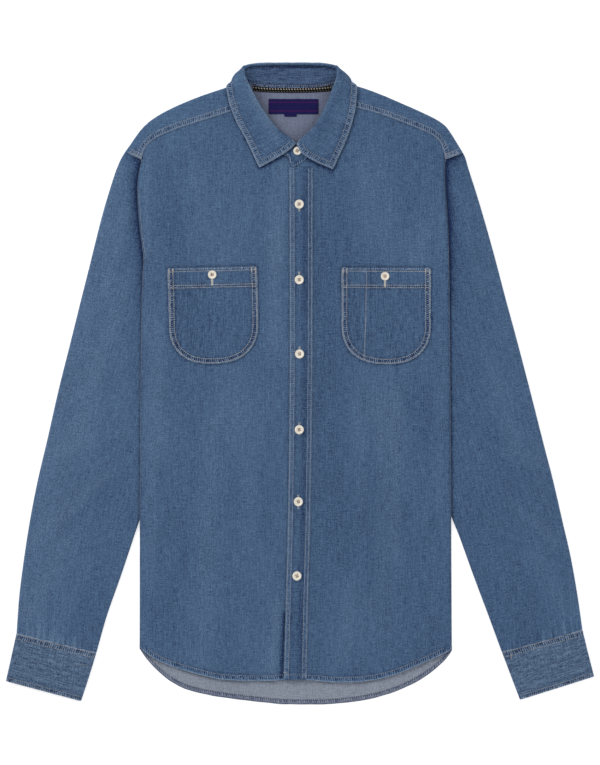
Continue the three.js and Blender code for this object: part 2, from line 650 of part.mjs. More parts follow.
// A flattened tube: each section is a loop of flat underside, fold, crowned top, fold.
// heightAt gives the top's height for a place and its share of the way across.
function flatTube(sections, thickness, heightAt, meetAt) {
  const outer = [];
  const inner = [];
  for (const s of sections) {
    const from = new THREE.Vector2(s.outer_x, s.outer_y);
    const across = new THREE.Vector2(s.inner_x, s.inner_y).sub(from);
    const width = across.length();
    const place = (share) => from.clone().addScaledVector(across, share);
    const fold_share = TUBE_FOLD / width;
    const meet = meetAt(s);
    const shares = [...TUBE_SHARES.map((f) => f * meet), (meet + 1 - fold_share) / 2];
    const outer_loop = [];
    const inner_loop = [];
    const add = (share_out, z_out, share_in, z_in) => {
      const a = place(share_out);
      const b = place(share_in);
      outer_loop.push(point(a.x, a.y, z_out));
      inner_loop.push(point(b.x, b.y, z_in));
    };
    const fold = (end, degrees) => {
      const angle = THREE.MathUtils.degToRad(degrees);
      const mirror = (share) => (end === 0 ? share : 1 - share);
      const height = heightAt(place(mirror(fold_share)), mirror(fold_share));
      const out = TUBE_FOLD * (1 - Math.cos(angle));
      const back_by = thickness + (TUBE_FOLD - thickness) * (1 - Math.cos(angle));
      const z_out = (height / 2) * (1 + Math.sin(angle));
      const z_in = height / 2 + (height / 2 - thickness) * Math.sin(angle);
      add(mirror(out / width), z_out, mirror(back_by / width), z_in);
    };
    for (const share of shares) add(share, 0, share, thickness);
    for (const degrees of [-90, -45, 0, 45, 90]) fold(1, degrees);
    for (const share of shares.toReversed()) {
      const top = heightAt(place(share), share);
      add(share, top, share, top - thickness);
    }
    for (const degrees of [90, 45, 0, -45, -90]) fold(0, degrees);
    outer.push(outer_loop);
    inner.push(inner_loop);
  }
  return wall(outer, inner, true);
}

// The line along which a sleeve meets the body, from below the underarm to the shoulder
function seamLine(side) {
  const edge_column = back_under.map((row) => row.at(side < 0 ? 0 : -1));
  const shoulder = (side < 0 ? YOKE_RIGHT : YOKE_LEFT).at(-1);
  const below = edge_column.filter((p) => p.y > -215).map((p) => new THREE.Vector2(p.x, p.y));
  return [...below, new THREE.Vector2(shoulder.fold_x, shoulder.fold_y)];
}

// Distance from a place to a line of points
function distanceTo(line, place) {
  const distances = line.slice(1).map((to, i) => {
    const step = to.clone().sub(line[i]);
    const share = THREE.MathUtils.clamp(place.clone().sub(line[i]).dot(step) / step.lengthSq(), 0, 1);
    return place.distanceTo(line[i].clone().addScaledVector(step, share));
  });
  return Math.min(...distances);
}

// Top of a sleeve: a low crown, sinking to the seam and pressed flat beneath the body
function sleeveHeight(side, seed) {
  const line = seamLine(side);
  return (flat, share) => {
    const crown = 0.62 + 0.38 * Math.sin(Math.PI * share);
    const ripple = 0.35 * Math.sin(flat.y / 31 + seed) * Math.sin(Math.PI * share * 2 + seed);
    const free = SLEEVE_LOFT * crown + ripple;
    const beneath = sideDistance(flat.x, flat.y) > 0;
    const rising = beneath ? 0 : 1 - Math.exp(-distanceTo(line, flat) / 11);
    const held = ease(-225, -185, flat.y);
    return free - held * (1 - rising) * Math.max(0, free - SLEEVE_PRESSED);
  };
}

// What is cut off a sleeve along the armhole seam: an upright block above the underarm
function armholeBlock(side) {
  const gap = side * 0.35;
  const line = seamLine(side).filter((p) => p.y >= UNDERARM_Y - 1);
  const top = line.at(-1);
  const outline = new THREE.Shape();
  outline.moveTo(line[0].x + gap, UNDERARM_Y + 1);
  for (const p of line.slice(1, -1)) outline.lineTo(p.x + gap, p.y - 0.35);
  outline.lineTo(top.x + 3 * gap, top.y - 0.35);
  outline.lineTo(top.x + side * 12, top.y + 14);
  outline.lineTo(top.x - side * 70, top.y + 14);
  outline.lineTo(top.x - side * 70, UNDERARM_Y + 1);
  const block = new THREE.ExtrudeGeometry(outline, { depth: 40, bevelEnabled: false });
  block.translate(0, 0, -10);
  block.deleteAttribute("normal");
  block.deleteAttribute("uv");
  return solidOf(facingOut(mergeVertices(block, 1e-4)));
}

for (const [name, sections, side, seed] of [
  ["sleeve_right", SLEEVE_RIGHT, -1, 0.4],
  ["sleeve_left", SLEEVE_LEFT, 1, 2.1],
]) {
  const meetAt = (section) => edgeShare(section, side);
  const tube = solidOf(flatTube(sections, CLOTH, sleeveHeight(side, seed), meetAt));
  addPiece(name, geometryOf(tube.subtract(armholeBlock(side))), materials.denim);
}
const cuffHeight = (flat, share) => CUFF_LOFT * (0.8 + 0.2 * Math.sin(Math.PI * share));
const cuffMeet = () => 0.84;
addPiece("cuff_right", flatTube(CUFF_RIGHT, CUFF_CLOTH, cuffHeight, cuffMeet), materials.denim);
addPiece("cuff_left", flatTube(CUFF_LEFT, CUFF_CLOTH, cuffHeight, cuffMeet), materials.denim);

// Collar sections for one half, from the centre back to the centre front: distance out
// from the collar's middle line, y and z. Each is a path over the face that shows: foot and
// top of the stand, the fold, then two bends of the leaf and its free edge.
const COLLAR = [
  {
    foot: [0, 384.6, 3.2], top: [0, 411.0, 13.0], fold: [0, 415.0, 15.6],
    bend: [0, 417.0, 9.5], low: [0, 412.0, 0.2], edge: [0, 388.0, 0],
  },
  {
    foot: [19.0, 384.9, 3.2], top: [19.0, 411.0, 13.0], fold: [19.0, 415.0, 15.6],
    bend: [19.0, 417.0, 9.5], low: [19.0, 412.0, 0.2], edge: [19.0, 388.3, 0],
  },
  {
    foot: [37.0, 386.0, 3.3], top: [35.2, 410.4, 13.3], fold: [35.5, 414.6, 16.0],
    bend: [36.5, 416.7, 9.8], low: [37.2, 411.6, 0.2], edge: [38.6, 390.0, 0],
  },
  {
    foot: [50.8, 388.8, 3.6], top: [48.2, 407.4, 14.5], fold: [49.7, 412.3, 17.6],
    bend: [53.3, 414.6, 11.0], low: [54.5, 410.6, 0.8], edge: [56.4, 393.0, 0],
  },
  {
    foot: [60.2, 391.4, 5.0], top: [55.5, 402.0, 16.0], fold: [57.5, 407.5, 19.4],
    bend: [62.6, 409.0, 13.5], low: [67.5, 403.8, 4.0], edge: [67.9, 395.5, 0.8],
  },
  {
    foot: [64.3, 389.5, 8.0], top: [58.0, 396.5, 16.6], fold: [58.7, 401.0, 20.0],
    bend: [68.2, 402.2, 15.6], low: [76.4, 396.0, 7.0], edge: [78.6, 392.0, 3.4],
  },
  {
    foot: [64.0, 380.0, 7.6], top: [56.0, 386.6, 15.4], fold: [55.4, 389.5, 19.4],
    bend: [64.4, 388.5, 17.8], low: [75.5, 386.4, 12.4], edge: [84.6, 385.2, 8.6],
  },
  {
    foot: [60.5, 363.0, 4.0], top: [50.0, 371.5, 12.3], fold: [48.5, 373.5, 16.2],
    bend: [56.0, 372.2, 16.0], low: [70.0, 369.4, 11.0], edge: [82.4, 366.6, 8.0],
  },
  {
    foot: [51.7, 341.0, 2.8], top: [40.0, 350.6, 9.4], fold: [37.4, 352.4, 13.0],
    bend: [44.2, 350.6, 13.6], low: [61.0, 346.2, 9.4], edge: [75.4, 342.0, 7.4],
  },
  {
    foot: [34.6, 314.8, 2.8], top: [26.3, 329.0, 8.6], fold: [23.3, 332.6, 12.0],
    bend: [30.2, 329.6, 12.6], low: [47.6, 321.8, 9.0], edge: [63.4, 314.4, 7.2],
  },
  {
    foot: [14.3, 296.4, 2.8], top: [11.8, 316.5, 8.2], fold: [9.4, 321.0, 11.4],
    bend: [16.8, 316.9, 12.0], low: [35.2, 306.6, 8.8], edge: [55.0, 296.2, 7.0],
  },
  {
    foot: [7.4, 292.6, 2.2], top: [2.8, 308.6, 7.8], fold: [0.6, 312.8, 11.0],
    bend: [7.8, 308.0, 11.4], low: [27.9, 295.4, 8.4], edge: [48.4, 281.4, 6.8],
  },
];
// The stand runs on past the centre: one end under, the end with the button on top
const STAND_END_UNDER = { foot: [-8.0, 283.4, 2.0], top: [-13.0, 299.0, 2.6] };
const STAND_END_OVER = { foot: [-5.9, 284.2, 5.6], top: [-13.2, 301.4, 8.2] };
const LIFT_OVER = { height: 2.2, from_y: 322, to_y: 296 };
const LIFT_SHARE = { foot: 1, top: 1, fold: 1, bend: 0.9, low: 0.4, edge: 0 };

const collarPoint = ([out, y, z], side, lift = 0) => point(collarMiddle(y) + side * out, y, z + lift);

// A section's named point on one side; the left half is lifted to lie over the right
function sectionPoint(section, key, side) {
  const over = side > 0 ? ease(LIFT_OVER.from_y, LIFT_OVER.to_y, section.foot[1]) : 0;
  return collarPoint(section[key], side, LIFT_OVER.height * over * LIFT_SHARE[key]);
}

// One path of the leaf: a smooth curve through its named points, kept off the surface
function leafPath(section, side) {
  const foot = sectionPoint(section, "foot", side);
  const top = sectionPoint(section, "top", side);
  const start = top.clone().addScaledVector(top.clone().sub(foot).normalize(), 6 * SEAM_GAP);
  const stops = [start, ...["fold", "bend", "low", "edge"].map((key) => sectionPoint(section, key, side))];
  const curve = new THREE.CatmullRomCurve3(stops, false, "centripetal");
  return [0, 0.12, 0.25, 0.38, 0.5, 0.62, 0.75, 0.88, 1].map((f) => {
    const p = curve.getPoint(f);
    p.z = Math.max(0, p.z);
    return p;
  });
}

// Extra sections between the named ones, as smooth curves through each named point
function collarSections(side) {
  const keys = Object.keys(COLLAR[0]);
  const curveOf = (key) => {
    const stops = COLLAR.map((section) => point(...section[key]));
    return new THREE.CatmullRomCurve3(stops, false, "centripetal");
  };
  const curves = Object.fromEntries(keys.map((key) => [key, curveOf(key)]));
  const count = 2 * (COLLAR.length - 1);
  const sections = [];
  for (let i = 0; i <= count; i++) {
    sections.push(Object.fromEntries(keys.map((key) => [key, curves[key].getPoint(i / count).toArray()])));
  }
  return side < 0 ? sections.toReversed() : sections.slice(1);
}
const right_sections = collarSections(-1);
const left_sections = collarSections(1);

const leaf_face = [
  ...right_sections.map((s) => leafPath(s, -1)),
  ...left_sections.map((s) => leafPath(s, 1)),
];
const leaf_behind = movedBack(leaf_face, COLLAR_CLOTH);
addPiece("collar_leaf", wall(leaf_face, leaf_behind), materials.denim);

function standPath(foot, top) {
  return [0, 0.33, 0.67, 1].map((f) => foot.clone().lerp(top, f));
}
const stand_face = [
  standPath(collarPoint(STAND_END_UNDER.foot, -1), collarPoint(STAND_END_UNDER.top, -1)),
  ...right_sections.map((s) => standPath(sectionPoint(s, "foot", -1), sectionPoint(s, "top", -1))),
  ...left_sections.map((s) => standPath(sectionPoint(s, "foot", 1), sectionPoint(s, "top", 1))),
  standPath(collarPoint(STAND_END_OVER.foot, 1), collarPoint(STAND_END_OVER.top, 1)),
];
const stand_behind = movedBack(stand_face, COLLAR_CLOTH);
addPiece("collar_stand", wall(stand_face, stand_behind), materials.denim);

// Flat pieces on the inside of the yoke: label, size tab and neck tape
function flatPiece(x0, x1, y0, y1, z, thickness) {
  const box = new THREE.BoxGeometry(x1 - x0, y1 - y0, thickness);
  box.translate((x0 + x1) / 2, (y0 + y1) / 2, z + thickness / 2);
  return box;
}
const ON_YOKE = CLOTH + SEAM_GAP;
addPiece("label", flatPiece(-40.4, 23.4, 350.7, 369.5, ON_YOKE, 1), materials.label);
addPiece("size_tab", flatPiece(-20.0, -4.8, 347.4, 350.4, ON_YOKE, 1), materials.label);
function neckTape() {
  const columns = BACK_NECK.slice(2, -2).map((neck) =>
    [1.2, 6.2].map((below) => point(neck.x * 0.98, neck.y - below, ON_YOKE)),
  );
  return wall(lowered(columns, -1), columns);
}
addPiece("neck_tape", neckTape(), materials.tape);

// Buttons: a turned disc with a raised rim and a dished middle
function buttonGeometry(radius) {
  const profile = [
    [0, 0],
    [radius * 0.8, 0],
    [radius, BUTTON_HEIGHT * 0.45],
    [radius * 0.9, BUTTON_HEIGHT],
    [radius * 0.62, BUTTON_HEIGHT * 0.95],
    [radius * 0.5, BUTTON_HEIGHT * 0.62],
    [0, BUTTON_HEIGHT * 0.62],
  ].map(([r, z]) => new THREE.Vector2(r, z));
  const turned = new THREE.LatheGeometry(profile, 14);
  turned.rotateX(Math.PI / 2);
  return turned;
}
function addButton(name, x, y, radius, z) {
  const button = new THREE.Mesh(buttonGeometry(radius), materials.button);
  button.name = name;
  button.position.set(x, y, z);
  shirt.add(button);
}

// Height that a button of this radius rests at on a panel's flat triangles
function restOn(grid, x, y, radius) {
  const around = [0, 1, 2, 3, 4, 5, 6, 7].map((k) => {
    const angle = (k * Math.PI) / 4;
    return heightOn(grid, x + 0.8 * radius * Math.cos(angle), y + 0.8 * radius * Math.sin(angle)) ?? 0;
  });
  return Math.max(...around, heightOn(grid, x, y)) + SEAM_GAP;
}
const FRONT_BUTTONS = [
  { x: -1.0, y: 233.0 },
  { x: -1.0, y: 134.8 },
  { x: -0.6, y: 38.4 },
  { x: -1.0, y: -60.0 },
  { x: -2.2, y: -153.6 },
  { x: -4.0, y: -250.0 },
];
FRONT_BUTTONS.forEach(({ x, y }, i) => {
  const z = restOn(left_front.outer, x, y, BUTTON_RADIUS) + SEAM_GAP + PLACKET_CLOTH;
  addButton(`button_${i + 1}`, x, y, BUTTON_RADIUS, z);
});
const POCKET_BUTTONS = [
  { name: "pocket_button_right", panel: right_front, x: -114.1, y: 141.4 },
  { name: "pocket_button_left", panel: left_front, x: 110.5, y: 139.4 },
];
for (const { name, panel, x, y } of POCKET_BUTTONS) {
  const z = restOn(panel.outer, x, y, POCKET_BUTTON_RADIUS) + 0.4 + POCKET_CLOTH + 0.6;
  addButton(name, x, y, POCKET_BUTTON_RADIUS, z);
}
const COLLAR_BUTTON = { x: -3.4, y: 302.0, radius: 5.4 };
const collar_button_z = restOn(stand_behind, COLLAR_BUTTON.x, COLLAR_BUTTON.y, COLLAR_BUTTON.radius);
addButton("button_collar", COLLAR_BUTTON.x, COLLAR_BUTTON.y, COLLAR_BUTTON.radius, collar_button_z);

export default shirt;
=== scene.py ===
"""Looks of a long-sleeved denim shirt that lies flat on its back, seen from above.

The tables hold millimetres in the shirt's frame: X to the viewer's right, Y from the hem to
the collar, Z up off the surface. Right and left are the wearer's. Meshes are in metres.
"""

import logging
import math
from dataclasses import dataclass
from enum import Enum

import bpy
import numpy as np
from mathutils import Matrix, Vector
from mathutils.bvhtree import BVHTree


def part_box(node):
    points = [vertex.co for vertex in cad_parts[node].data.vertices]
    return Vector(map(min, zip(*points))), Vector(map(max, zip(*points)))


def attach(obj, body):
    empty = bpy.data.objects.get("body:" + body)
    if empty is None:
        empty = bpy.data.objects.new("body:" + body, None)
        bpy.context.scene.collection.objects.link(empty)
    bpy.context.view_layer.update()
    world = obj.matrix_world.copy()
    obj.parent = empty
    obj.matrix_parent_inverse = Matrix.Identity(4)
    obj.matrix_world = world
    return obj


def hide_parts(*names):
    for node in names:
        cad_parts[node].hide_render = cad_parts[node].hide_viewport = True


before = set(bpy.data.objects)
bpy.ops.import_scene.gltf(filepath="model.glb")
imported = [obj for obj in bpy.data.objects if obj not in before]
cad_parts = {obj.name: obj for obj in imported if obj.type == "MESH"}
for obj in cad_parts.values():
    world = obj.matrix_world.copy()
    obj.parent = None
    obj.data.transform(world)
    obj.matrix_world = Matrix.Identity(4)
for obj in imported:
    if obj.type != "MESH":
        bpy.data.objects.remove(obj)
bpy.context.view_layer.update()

log = logging.getLogger("shirt")
Array = np.ndarray
MM = 0.001


def ease(start: float, end: float, value: Array) -> Array:
    """Smooth step: 0 at start, 1 at end, 3s squared minus 2s cubed between."""
    share = np.clip((value - start) / (end - start), 0.0, 1.0)
    return share * share * (3.0 - 2.0 * share)


def bell(distance: Array, width: float) -> Array:
    """Bell curve: e to the minus square of distance over width."""
    return np.exp(-((distance / width) ** 2))


def through(xs: Array, ys: Array, at: Array) -> Array:
    """A smooth curve through points, without overshoot.

    Each span is a cubic whose end slopes are the harmonic mean of the two neighbouring
    slopes, or zero where these differ in sign.

    Args:
        xs: places of the points, rising.
        ys: values there, one row a point; a row may hold several values.
        at: places to read the curve at.

    Returns:
        The values, in the shape of at followed by the shape of one row.
    """
    values = ys.reshape(len(xs), -1).astype(float)
    steps = np.diff(xs)[:, None]
    slopes = np.diff(values, axis=0) / steps
    before, after = slopes[:-1], slopes[1:]
    total = before + after
    mean = 2.0 * before * after / np.where(total == 0.0, 1.0, total)
    tangents = np.vstack([slopes[:1], np.where(before * after > 0.0, mean, 0.0), slopes[-1:]])
    flat = np.clip(np.asarray(at, float).ravel(), xs[0], xs[-1])
    i = np.clip(np.searchsorted(xs, flat, side="right") - 1, 0, len(xs) - 2)
    t = ((flat - xs[i]) / (xs[i + 1] - xs[i]))[:, None]
    found = (
        (2 * t**3 - 3 * t**2 + 1) * values[i]
        + (t**3 - 2 * t**2 + t) * steps[i] * tangents[i]
        + (3 * t**2 - 2 * t**3) * values[i + 1]
        + (t**3 - t**2) * steps[i] * tangents[i + 1]
    )
    return found.reshape(np.shape(at) + ys.shape[1:])


class Table:
    """A short table of numbers with named columns."""

    def __init__(self, text: str) -> None:
        """Reads the column names from the first line and a row of numbers from each other.

        Args:
            text: the column names, then the rows.
        """
        lines = [line.split() for line in text.strip().splitlines()]
        self.names = lines[0]
        self.rows = np.array(lines[1:], float)

    def __getitem__(self, name: str) -> Array:
        """One column by its name."""
        return self.rows[:, self.names.index(name)]

    def columns(self, *names: str) -> Array:
        """Several columns side by side."""
        return np.stack([self[name] for name in names], axis=-1)

    def read(self, key: str, value: str, at: Array) -> Array:
        """The value column as a smooth curve over the key column."""
        return through(self[key], self[value], at)


SIDES = Table("""
    y      left   right
    -346.0 -208.3 197.2
    -171.0 -208.0 196.3
    -21.5  -206.9 195.2
    108.6  -205.2 194.0
    143.7  -204.0 193.6
    159.0  -202.8 193.3
    190.5  -207.2 193.0
    221.7  -210.3 191.6
    254.0  -211.8 189.2
    270.0  -210.3 188.6
    291.0  -206.0 189.0
""")
FRONT_HEM = Table("""
    x      y
    -208.5 -343.0
    -192.5 -355.5
    -176.0 -363.8
    -151.0 -372.5
    -126.0 -379.3
    -101.0 -384.6
    -68.0  -386.2
    -35.0  -386.0
    -18.0  -384.6
    10.5   -385.2
    47.0   -388.2
    77.0   -387.5
    102.0  -384.0
    127.0  -377.2
    150.0  -367.5
    175.0  -356.5
    197.5  -345.5
""")
BACK_HEM = Table("""
    x      y
    -208.5 -344.5
    -200.5 -356.0
    -184.0 -374.0
    -167.5 -387.2
    -148.0 -397.0
    -118.0 -404.6
    -85.0  -409.6
    -51.5  -413.6
    -18.5  -416.4
    19.0   -416.8
    60.5   -414.4
    90.0   -409.8
    115.0  -403.0
    143.5  -391.6
    168.0  -376.8
    188.0  -359.5
    197.5  -347.0
""")
YOKE_RIGHT = Table("""
    fold_x fold_y seam_x seam_y back_x
    -78.0  390.7  -72.8  360.8  -72.8
    -96.2  384.7  -90.0  354.4  -90.0
    -127.9 374.1  -122.2 343.8  -122.2
    -154.4 363.5  -148.2 335.7  -148.2
    -181.0 350.4  -174.2 325.8  -174.2
    -196.8 339.7  -190.5 317.6  -188.0
    -207.5 329.0  -200.0 308.6  -198.0
    -220.7 310.4  -204.3 299.8  -203.5
    -227.4 301.2  -206.4 291.6  -206.0
""")
YOKE_LEFT = Table("""
    fold_x fold_y seam_x seam_y back_x
    56.0   390.7  54.0   363.2  54.0
    80.6   384.7  82.0   357.0  82.0
    104.5  376.1  107.0  349.7  107.0
    131.0  364.8  132.0  340.7  132.0
    157.6  353.0  156.0  331.0  156.0
    178.9  342.3  174.5  321.8  172.0
    189.4  334.4  182.8  312.7  180.5
    205.4  310.4  187.0  300.9  186.0
    211.9  299.8  189.2  291.8  189.0
""")
NECKLINE_RIGHT = Table("""
    x     y
    -72.8 360.8
    -62.4 340.0
    -41.6 312.7
    -22.9 297.7
    15.1  276.2
""")
NECKLINE_LEFT = Table("""
    x     y
    -23.5 276.2
    14.4  297.7
    32.0  312.7
    48.0  340.0
    54.0  363.2
""")
COLLAR_MIDDLE = Table("""
    y     x
    276.0 -4.4
    300.0 -4.6
    318.0 -4.8
    333.0 -6.6
    368.0 -9.8
    411.0 -12.4
""")
BACK_NECK = Table("""
    x     y
    -80.0 386.5
    -74.0 387.6
    -62.0 386.0
    -50.0 384.6
    -32.0 383.7
    -11.0 383.4
    10.0  383.7
    28.0  384.6
    41.0  386.0
    52.0  387.6
    58.0  386.5
""")
BAND = Table("""
    y      left  right
    -386.0 -22.3 8.6
    -325.7 -20.8 9.6
    -136.0 -16.3 14.1
    56.5   -14.5 16.2
    286.0  -15.1 16.6
""")
SLEEVE_RIGHT = Table("""
    outer_x outer_y inner_x inner_y
    -227.4  301.2   -206.4  291.2
    -231.5  294.5   -207.5  283.0
    -238.0  280.2   -210.6  266.0
    -248.3  249.0   -211.2  238.6
    -257.4  217.8   -208.9  207.4
    -266.5  182.0   -204.6  171.6
    -273.0  155.4   -190.0  146.0
    -283.5  113.8   -184.0  100.8
    -299.0  51.4    -182.5  34.5
    -314.6  -11.1   -184.0  -30.6
    -329.0  -74.8   -190.0  -95.6
    -341.5  -128.1  -200.8  -151.5
    -351.3  -178.8  -216.5  -201.0
    -358.8  -226.9  -233.4  -251.6
    -365.3  -278.9  -251.6  -303.6
    -368.6  -324.6  -264.6  -349.6
""")
SLEEVE_LEFT = Table("""
    outer_x outer_y inner_x inner_y
    211.9   299.8   189.4   291.2
    214.8   294.0   188.8   283.0
    218.8   280.2   188.6   266.0
    228.8   249.0   190.4   238.6
    238.2   217.8   192.4   207.4
    248.8   180.5   193.2   171.6
    255.6   155.4   178.0   146.0
    266.5   113.8   172.0   100.8
    283.4   51.4    170.5   34.5
    299.7   -11.1   172.0   -30.6
    315.9   -74.8   178.5   -95.6
    329.6   -128.1  189.6   -151.5
    341.3   -178.8  208.0   -201.0
    352.3   -226.9  226.2   -251.6
    361.4   -278.9  245.7   -303.6
    367.3   -320.0  262.2   -348.6
""")
CUFF_RIGHT = Table("""
    outer_x outer_y inner_x inner_y
    -368.7  -325.1  -264.8  -350.1
    -375.3  -355.0  -274.0  -380.5
    -382.3  -386.3  -284.5  -412.3
""")
CUFF_LEFT = Table("""
    outer_x outer_y inner_x inner_y
    367.4   -320.5  262.5   -349.1
    374.5   -349.5  274.0   -379.5
    382.3   -380.3  285.8   -410.6
""")
COLLAR_FOOT = Table("""
    out  y     z
    0    384.6 3.2
    19.0 384.9 3.2
    37.0 386.0 3.3
    50.8 388.8 3.6
    60.2 391.4 5.0
    64.3 389.5 8.0
    64.0 380.0 7.6
    60.5 363.0 4.0
    51.7 341.0 2.8
    34.6 314.8 2.8
    14.3 296.4 2.8
    7.4  292.6 2.2
""")
COLLAR_TOP = Table("""
    out  y     z
    0    411.0 13.0
    19.0 411.0 13.0
    35.2 410.4 13.3
    52.8 408.9 15.0
    59.0 405.6 16.0
    59.2 397.5 16.6
    56.0 386.6 15.4
    50.0 371.5 12.3
    40.0 350.6 9.4
    26.3 329.0 8.6
    11.8 316.5 8.2
    2.8  308.6 7.8
""")
COLLAR_FOLD = Table("""
    out  y     z
    0    415.0 15.6
    19.0 415.0 15.6
    35.5 414.6 16.0
    54.6 413.2 18.0
    61.8 411.0 19.2
    61.2 402.6 20.0
    55.4 389.5 19.4
    48.5 373.5 16.2
    37.4 352.4 13.0
    23.3 332.6 12.0
    9.4  321.0 11.4
    0.6  312.8 11.0
""")
COLLAR_BEND = Table("""
    out  y     z
    0    417.0 9.5
    19.0 417.0 9.5
    36.5 416.7 9.8
    53.3 414.6 11.0
    63.4 409.6 14.5
    68.2 402.4 15.6
    64.4 388.5 17.8
    56.0 372.2 16.0
    44.2 350.6 13.6
    30.2 329.6 12.6
    16.8 316.9 12.0
    7.8  308.0 11.4
""")
COLLAR_LOW = Table("""
    out  y     z
    0    412.0 0.2
    19.0 412.0 0.2
    37.2 411.6 0.2
    54.5 410.6 0.8
    67.5 403.8 4.0
    76.4 396.0 7.0
    75.5 386.4 12.4
    70.0 369.4 11.0
    61.0 346.2 9.4
    47.6 321.8 9.0
    35.2 306.6 8.8
    27.9 295.4 8.4
""")
COLLAR_EDGE = Table("""
    out  y     z
    0    388.0 0
    19.0 388.3 0
    38.6 390.0 0
    56.4 393.0 0
    67.9 395.5 0.8
    78.6 392.0 3.4
    84.6 385.2 8.6
    82.4 366.6 8.0
    75.4 342.0 7.4
    63.4 314.4 7.2
    55.0 296.2 7.0
    48.4 281.4 6.8
""")
COLLAR_LINES = {
    "foot": (COLLAR_FOOT, 1.0),
    "top": (COLLAR_TOP, 1.0),
    "fold": (COLLAR_FOLD, 1.0),
    "bend": (COLLAR_BEND, 0.9),
    "low": (COLLAR_LOW, 0.4),
    "edge": (COLLAR_EDGE, 0.0),
}
# How far each collar line's last row is moved on each side: out, up the shirt and up off the surface.
COLLAR_ENDS = {
    -1: {"bend": (0.4, -3.0, 0.4), "low": (0.0, -3.0, 0.0)},
    1: {
        "foot": (0.0, -4.0, 1.0), "fold": (0.0, -0.8, 1.4), "bend": (-1.2, -7.8, 2.8),
        "low": (-1.8, -7.4, 1.0), "edge": (-1.2, -2.2, 0.0),
    },
}
FOLDS = Table("""
    x0   y0   x1   y1   width height
    -150 20   -166 -290 17    -0.7
    -186 60   -188 -250 15    0.7
    -82  20   -92  -320 30    0.12
    52   190  36   -240 20    -0.7
    24   110  20   -230 13    -0.5
    108  10   96   -310 30    0.3
    158  -10  160  -260 16    -0.5
    -120 300  -95  175  26    0.15
    -182 240  -150 165  13    -0.6
    98   300  118  175  26    0.3
    60   250  62   158  7     -0.6
    -29  -292 -38  -378 7     1.0
""")
CREASES = Table("""
    x0   y0   x1   y1   width height
    -160 286  -158 176  10   -0.55
    -140 268  -112 196  8    0.20
    -198 284  -199 165  6    0.60
    -26  272  -28  160  12   0.50
    -36  190  -34  50   12   0.50
    -47  150  -52  20   7    -0.40
    -58  -30  -66  -210 9    0.15
    -128 0    -142 -130 9    -0.45
    -112 -50  -124 -260 11   0.40
    -84  -150 -92  -330 9    -0.40
    -180 -120 -184 -300 8    -0.45
    -40  -60  -44  -230 8    -0.35
    34   150  58   -230 15   -0.55
    24   40   26   -160 6    -0.40
    74   20   84   -170 10   0.20
    92   -60  88   -260 8    -0.35
    107  -30  108  -66  20   0.40
    126  -20  122  -220 9    0.30
    142  -150 140  -330 8    -0.40
    172  120  168  -80  8    -0.45
    180  60   180  -160 7    0.35
    150  262  130  190  8    -0.40
    170  214  146  158  8    0.35
    84   286  92   190  12   0.12
    66   -250 56   -360 8    0.35
    28   -240 24   -372 7    -0.35
    -128 -300 -122 -372 8    0.30
""")
SLEEVE_CREASES = Table("""
    x0   y0   x1   y1   width height
    -222 250  -250 120  9     0.8
    -214 205  -262 60   8     -0.7
    -232 120  -288 -60  12    0.8
    -222 20   -300 -40  7     -0.6
    -214 -60  -318 -90  9     0.6
    -222 -110 -300 -190 8     -0.6
    -250 -120 -346 -200 9     0.6
    -262 -180 -322 -290 7     -0.5
    -300 -200 -352 -300 8     0.6
    -262 -250 -300 -330 6     -0.5
    -340 -100 -352 -250 9     -0.4
    -244 40   -256 -90  10    -0.5
    205  245  232  120  9     0.8
    204  190  252  40   8     -0.7
    222  110  276  -70  12    0.8
    214  10   290  -50  7     -0.6
    206  -70  310  -100 9     0.6
    216  -120 292  -200 8     -0.6
    240  -130 336  -206 9     0.6
    256  -190 316  -294 7     -0.5
    292  -206 346  -300 8     0.6
    258  -262 296  -330 6     -0.5
    330  -104 344  -250 9     -0.4
    234  30   248  -96  10    -0.5
""")
LEAF_CREASES = Table("""
    x0   y0   x1   y1   width height
    -49  370  -20  324  4     -1.0
    -62  376  -34  322  5     0.7
    -70  352  -50  308  5     -0.5
    46   366  24   326  4     -0.7
    57   360  40   312  5     0.5
""")
# A painted shadow on the right front beside the band's lower end, as a fold whose height is how dark it is.
BAND_SHADOW = Table("""
    x0    y0   x1    y1   width height
    -19.5 -300 -24.5 -381 2.6   -1.0
""")
# Middle and height of each pocket's mouth, its rise across, and the lean of its foot.
POCKETS = {-1: (-114.2, 150.8, 0.024, 0.045), 1: (112.0, 150.2, -0.004, 0.0)}
# Shift of each buttonhole's middle from its button, half of its length, and its stitches' scale.
BUTTONHOLES = {
    "button_1": (-1.6, 7.4, 0.5),
    "button_2": (2.6, 7.8, 0.5),
    "button_3": (1.8, 7.4, 0.5),
    "button_4": (1.2, 7.8, 0.5),
    "button_5": (0.0, 8.8, 0.5),
    "button_6": (0.0, 6.2, 0.5),
}
# Places of the pen slot's stitches, of the tacks on the cuffs and of the one at the band's foot.
PEN_SLOT = np.array([[86.3, 145.5], [85.7, 87.0], [83.2, 31.0]])
CUFF_TACK = np.array([[-292.5, -364.5], [-275.0, -366.0]])
CUFF_BAR = (274.5, -354.5, 6.0, 86.0)
BAND_BAR = (-19.0, -375.5, 4.5, 0.0)
BAND_FOOT_Y, BAND_TOP_Y = -384.3, 281.0
BAND_INSET = 1.6
UNDERARM_Y = 159.0
YOKE_SEAM_Y = 291.0


def band_sides(y: Array) -> tuple[Array, Array]:
    """X of the band's two edges, the left one drawn in from its table by an inset."""
    return BAND.read("y", "left", y) + BAND_INSET, BAND.read("y", "right", y)


def collar_middle(y: Array) -> Array:
    """X of the leaning collar's middle line."""
    return np.interp(y, COLLAR_MIDDLE["y"], COLLAR_MIDDLE["x"])


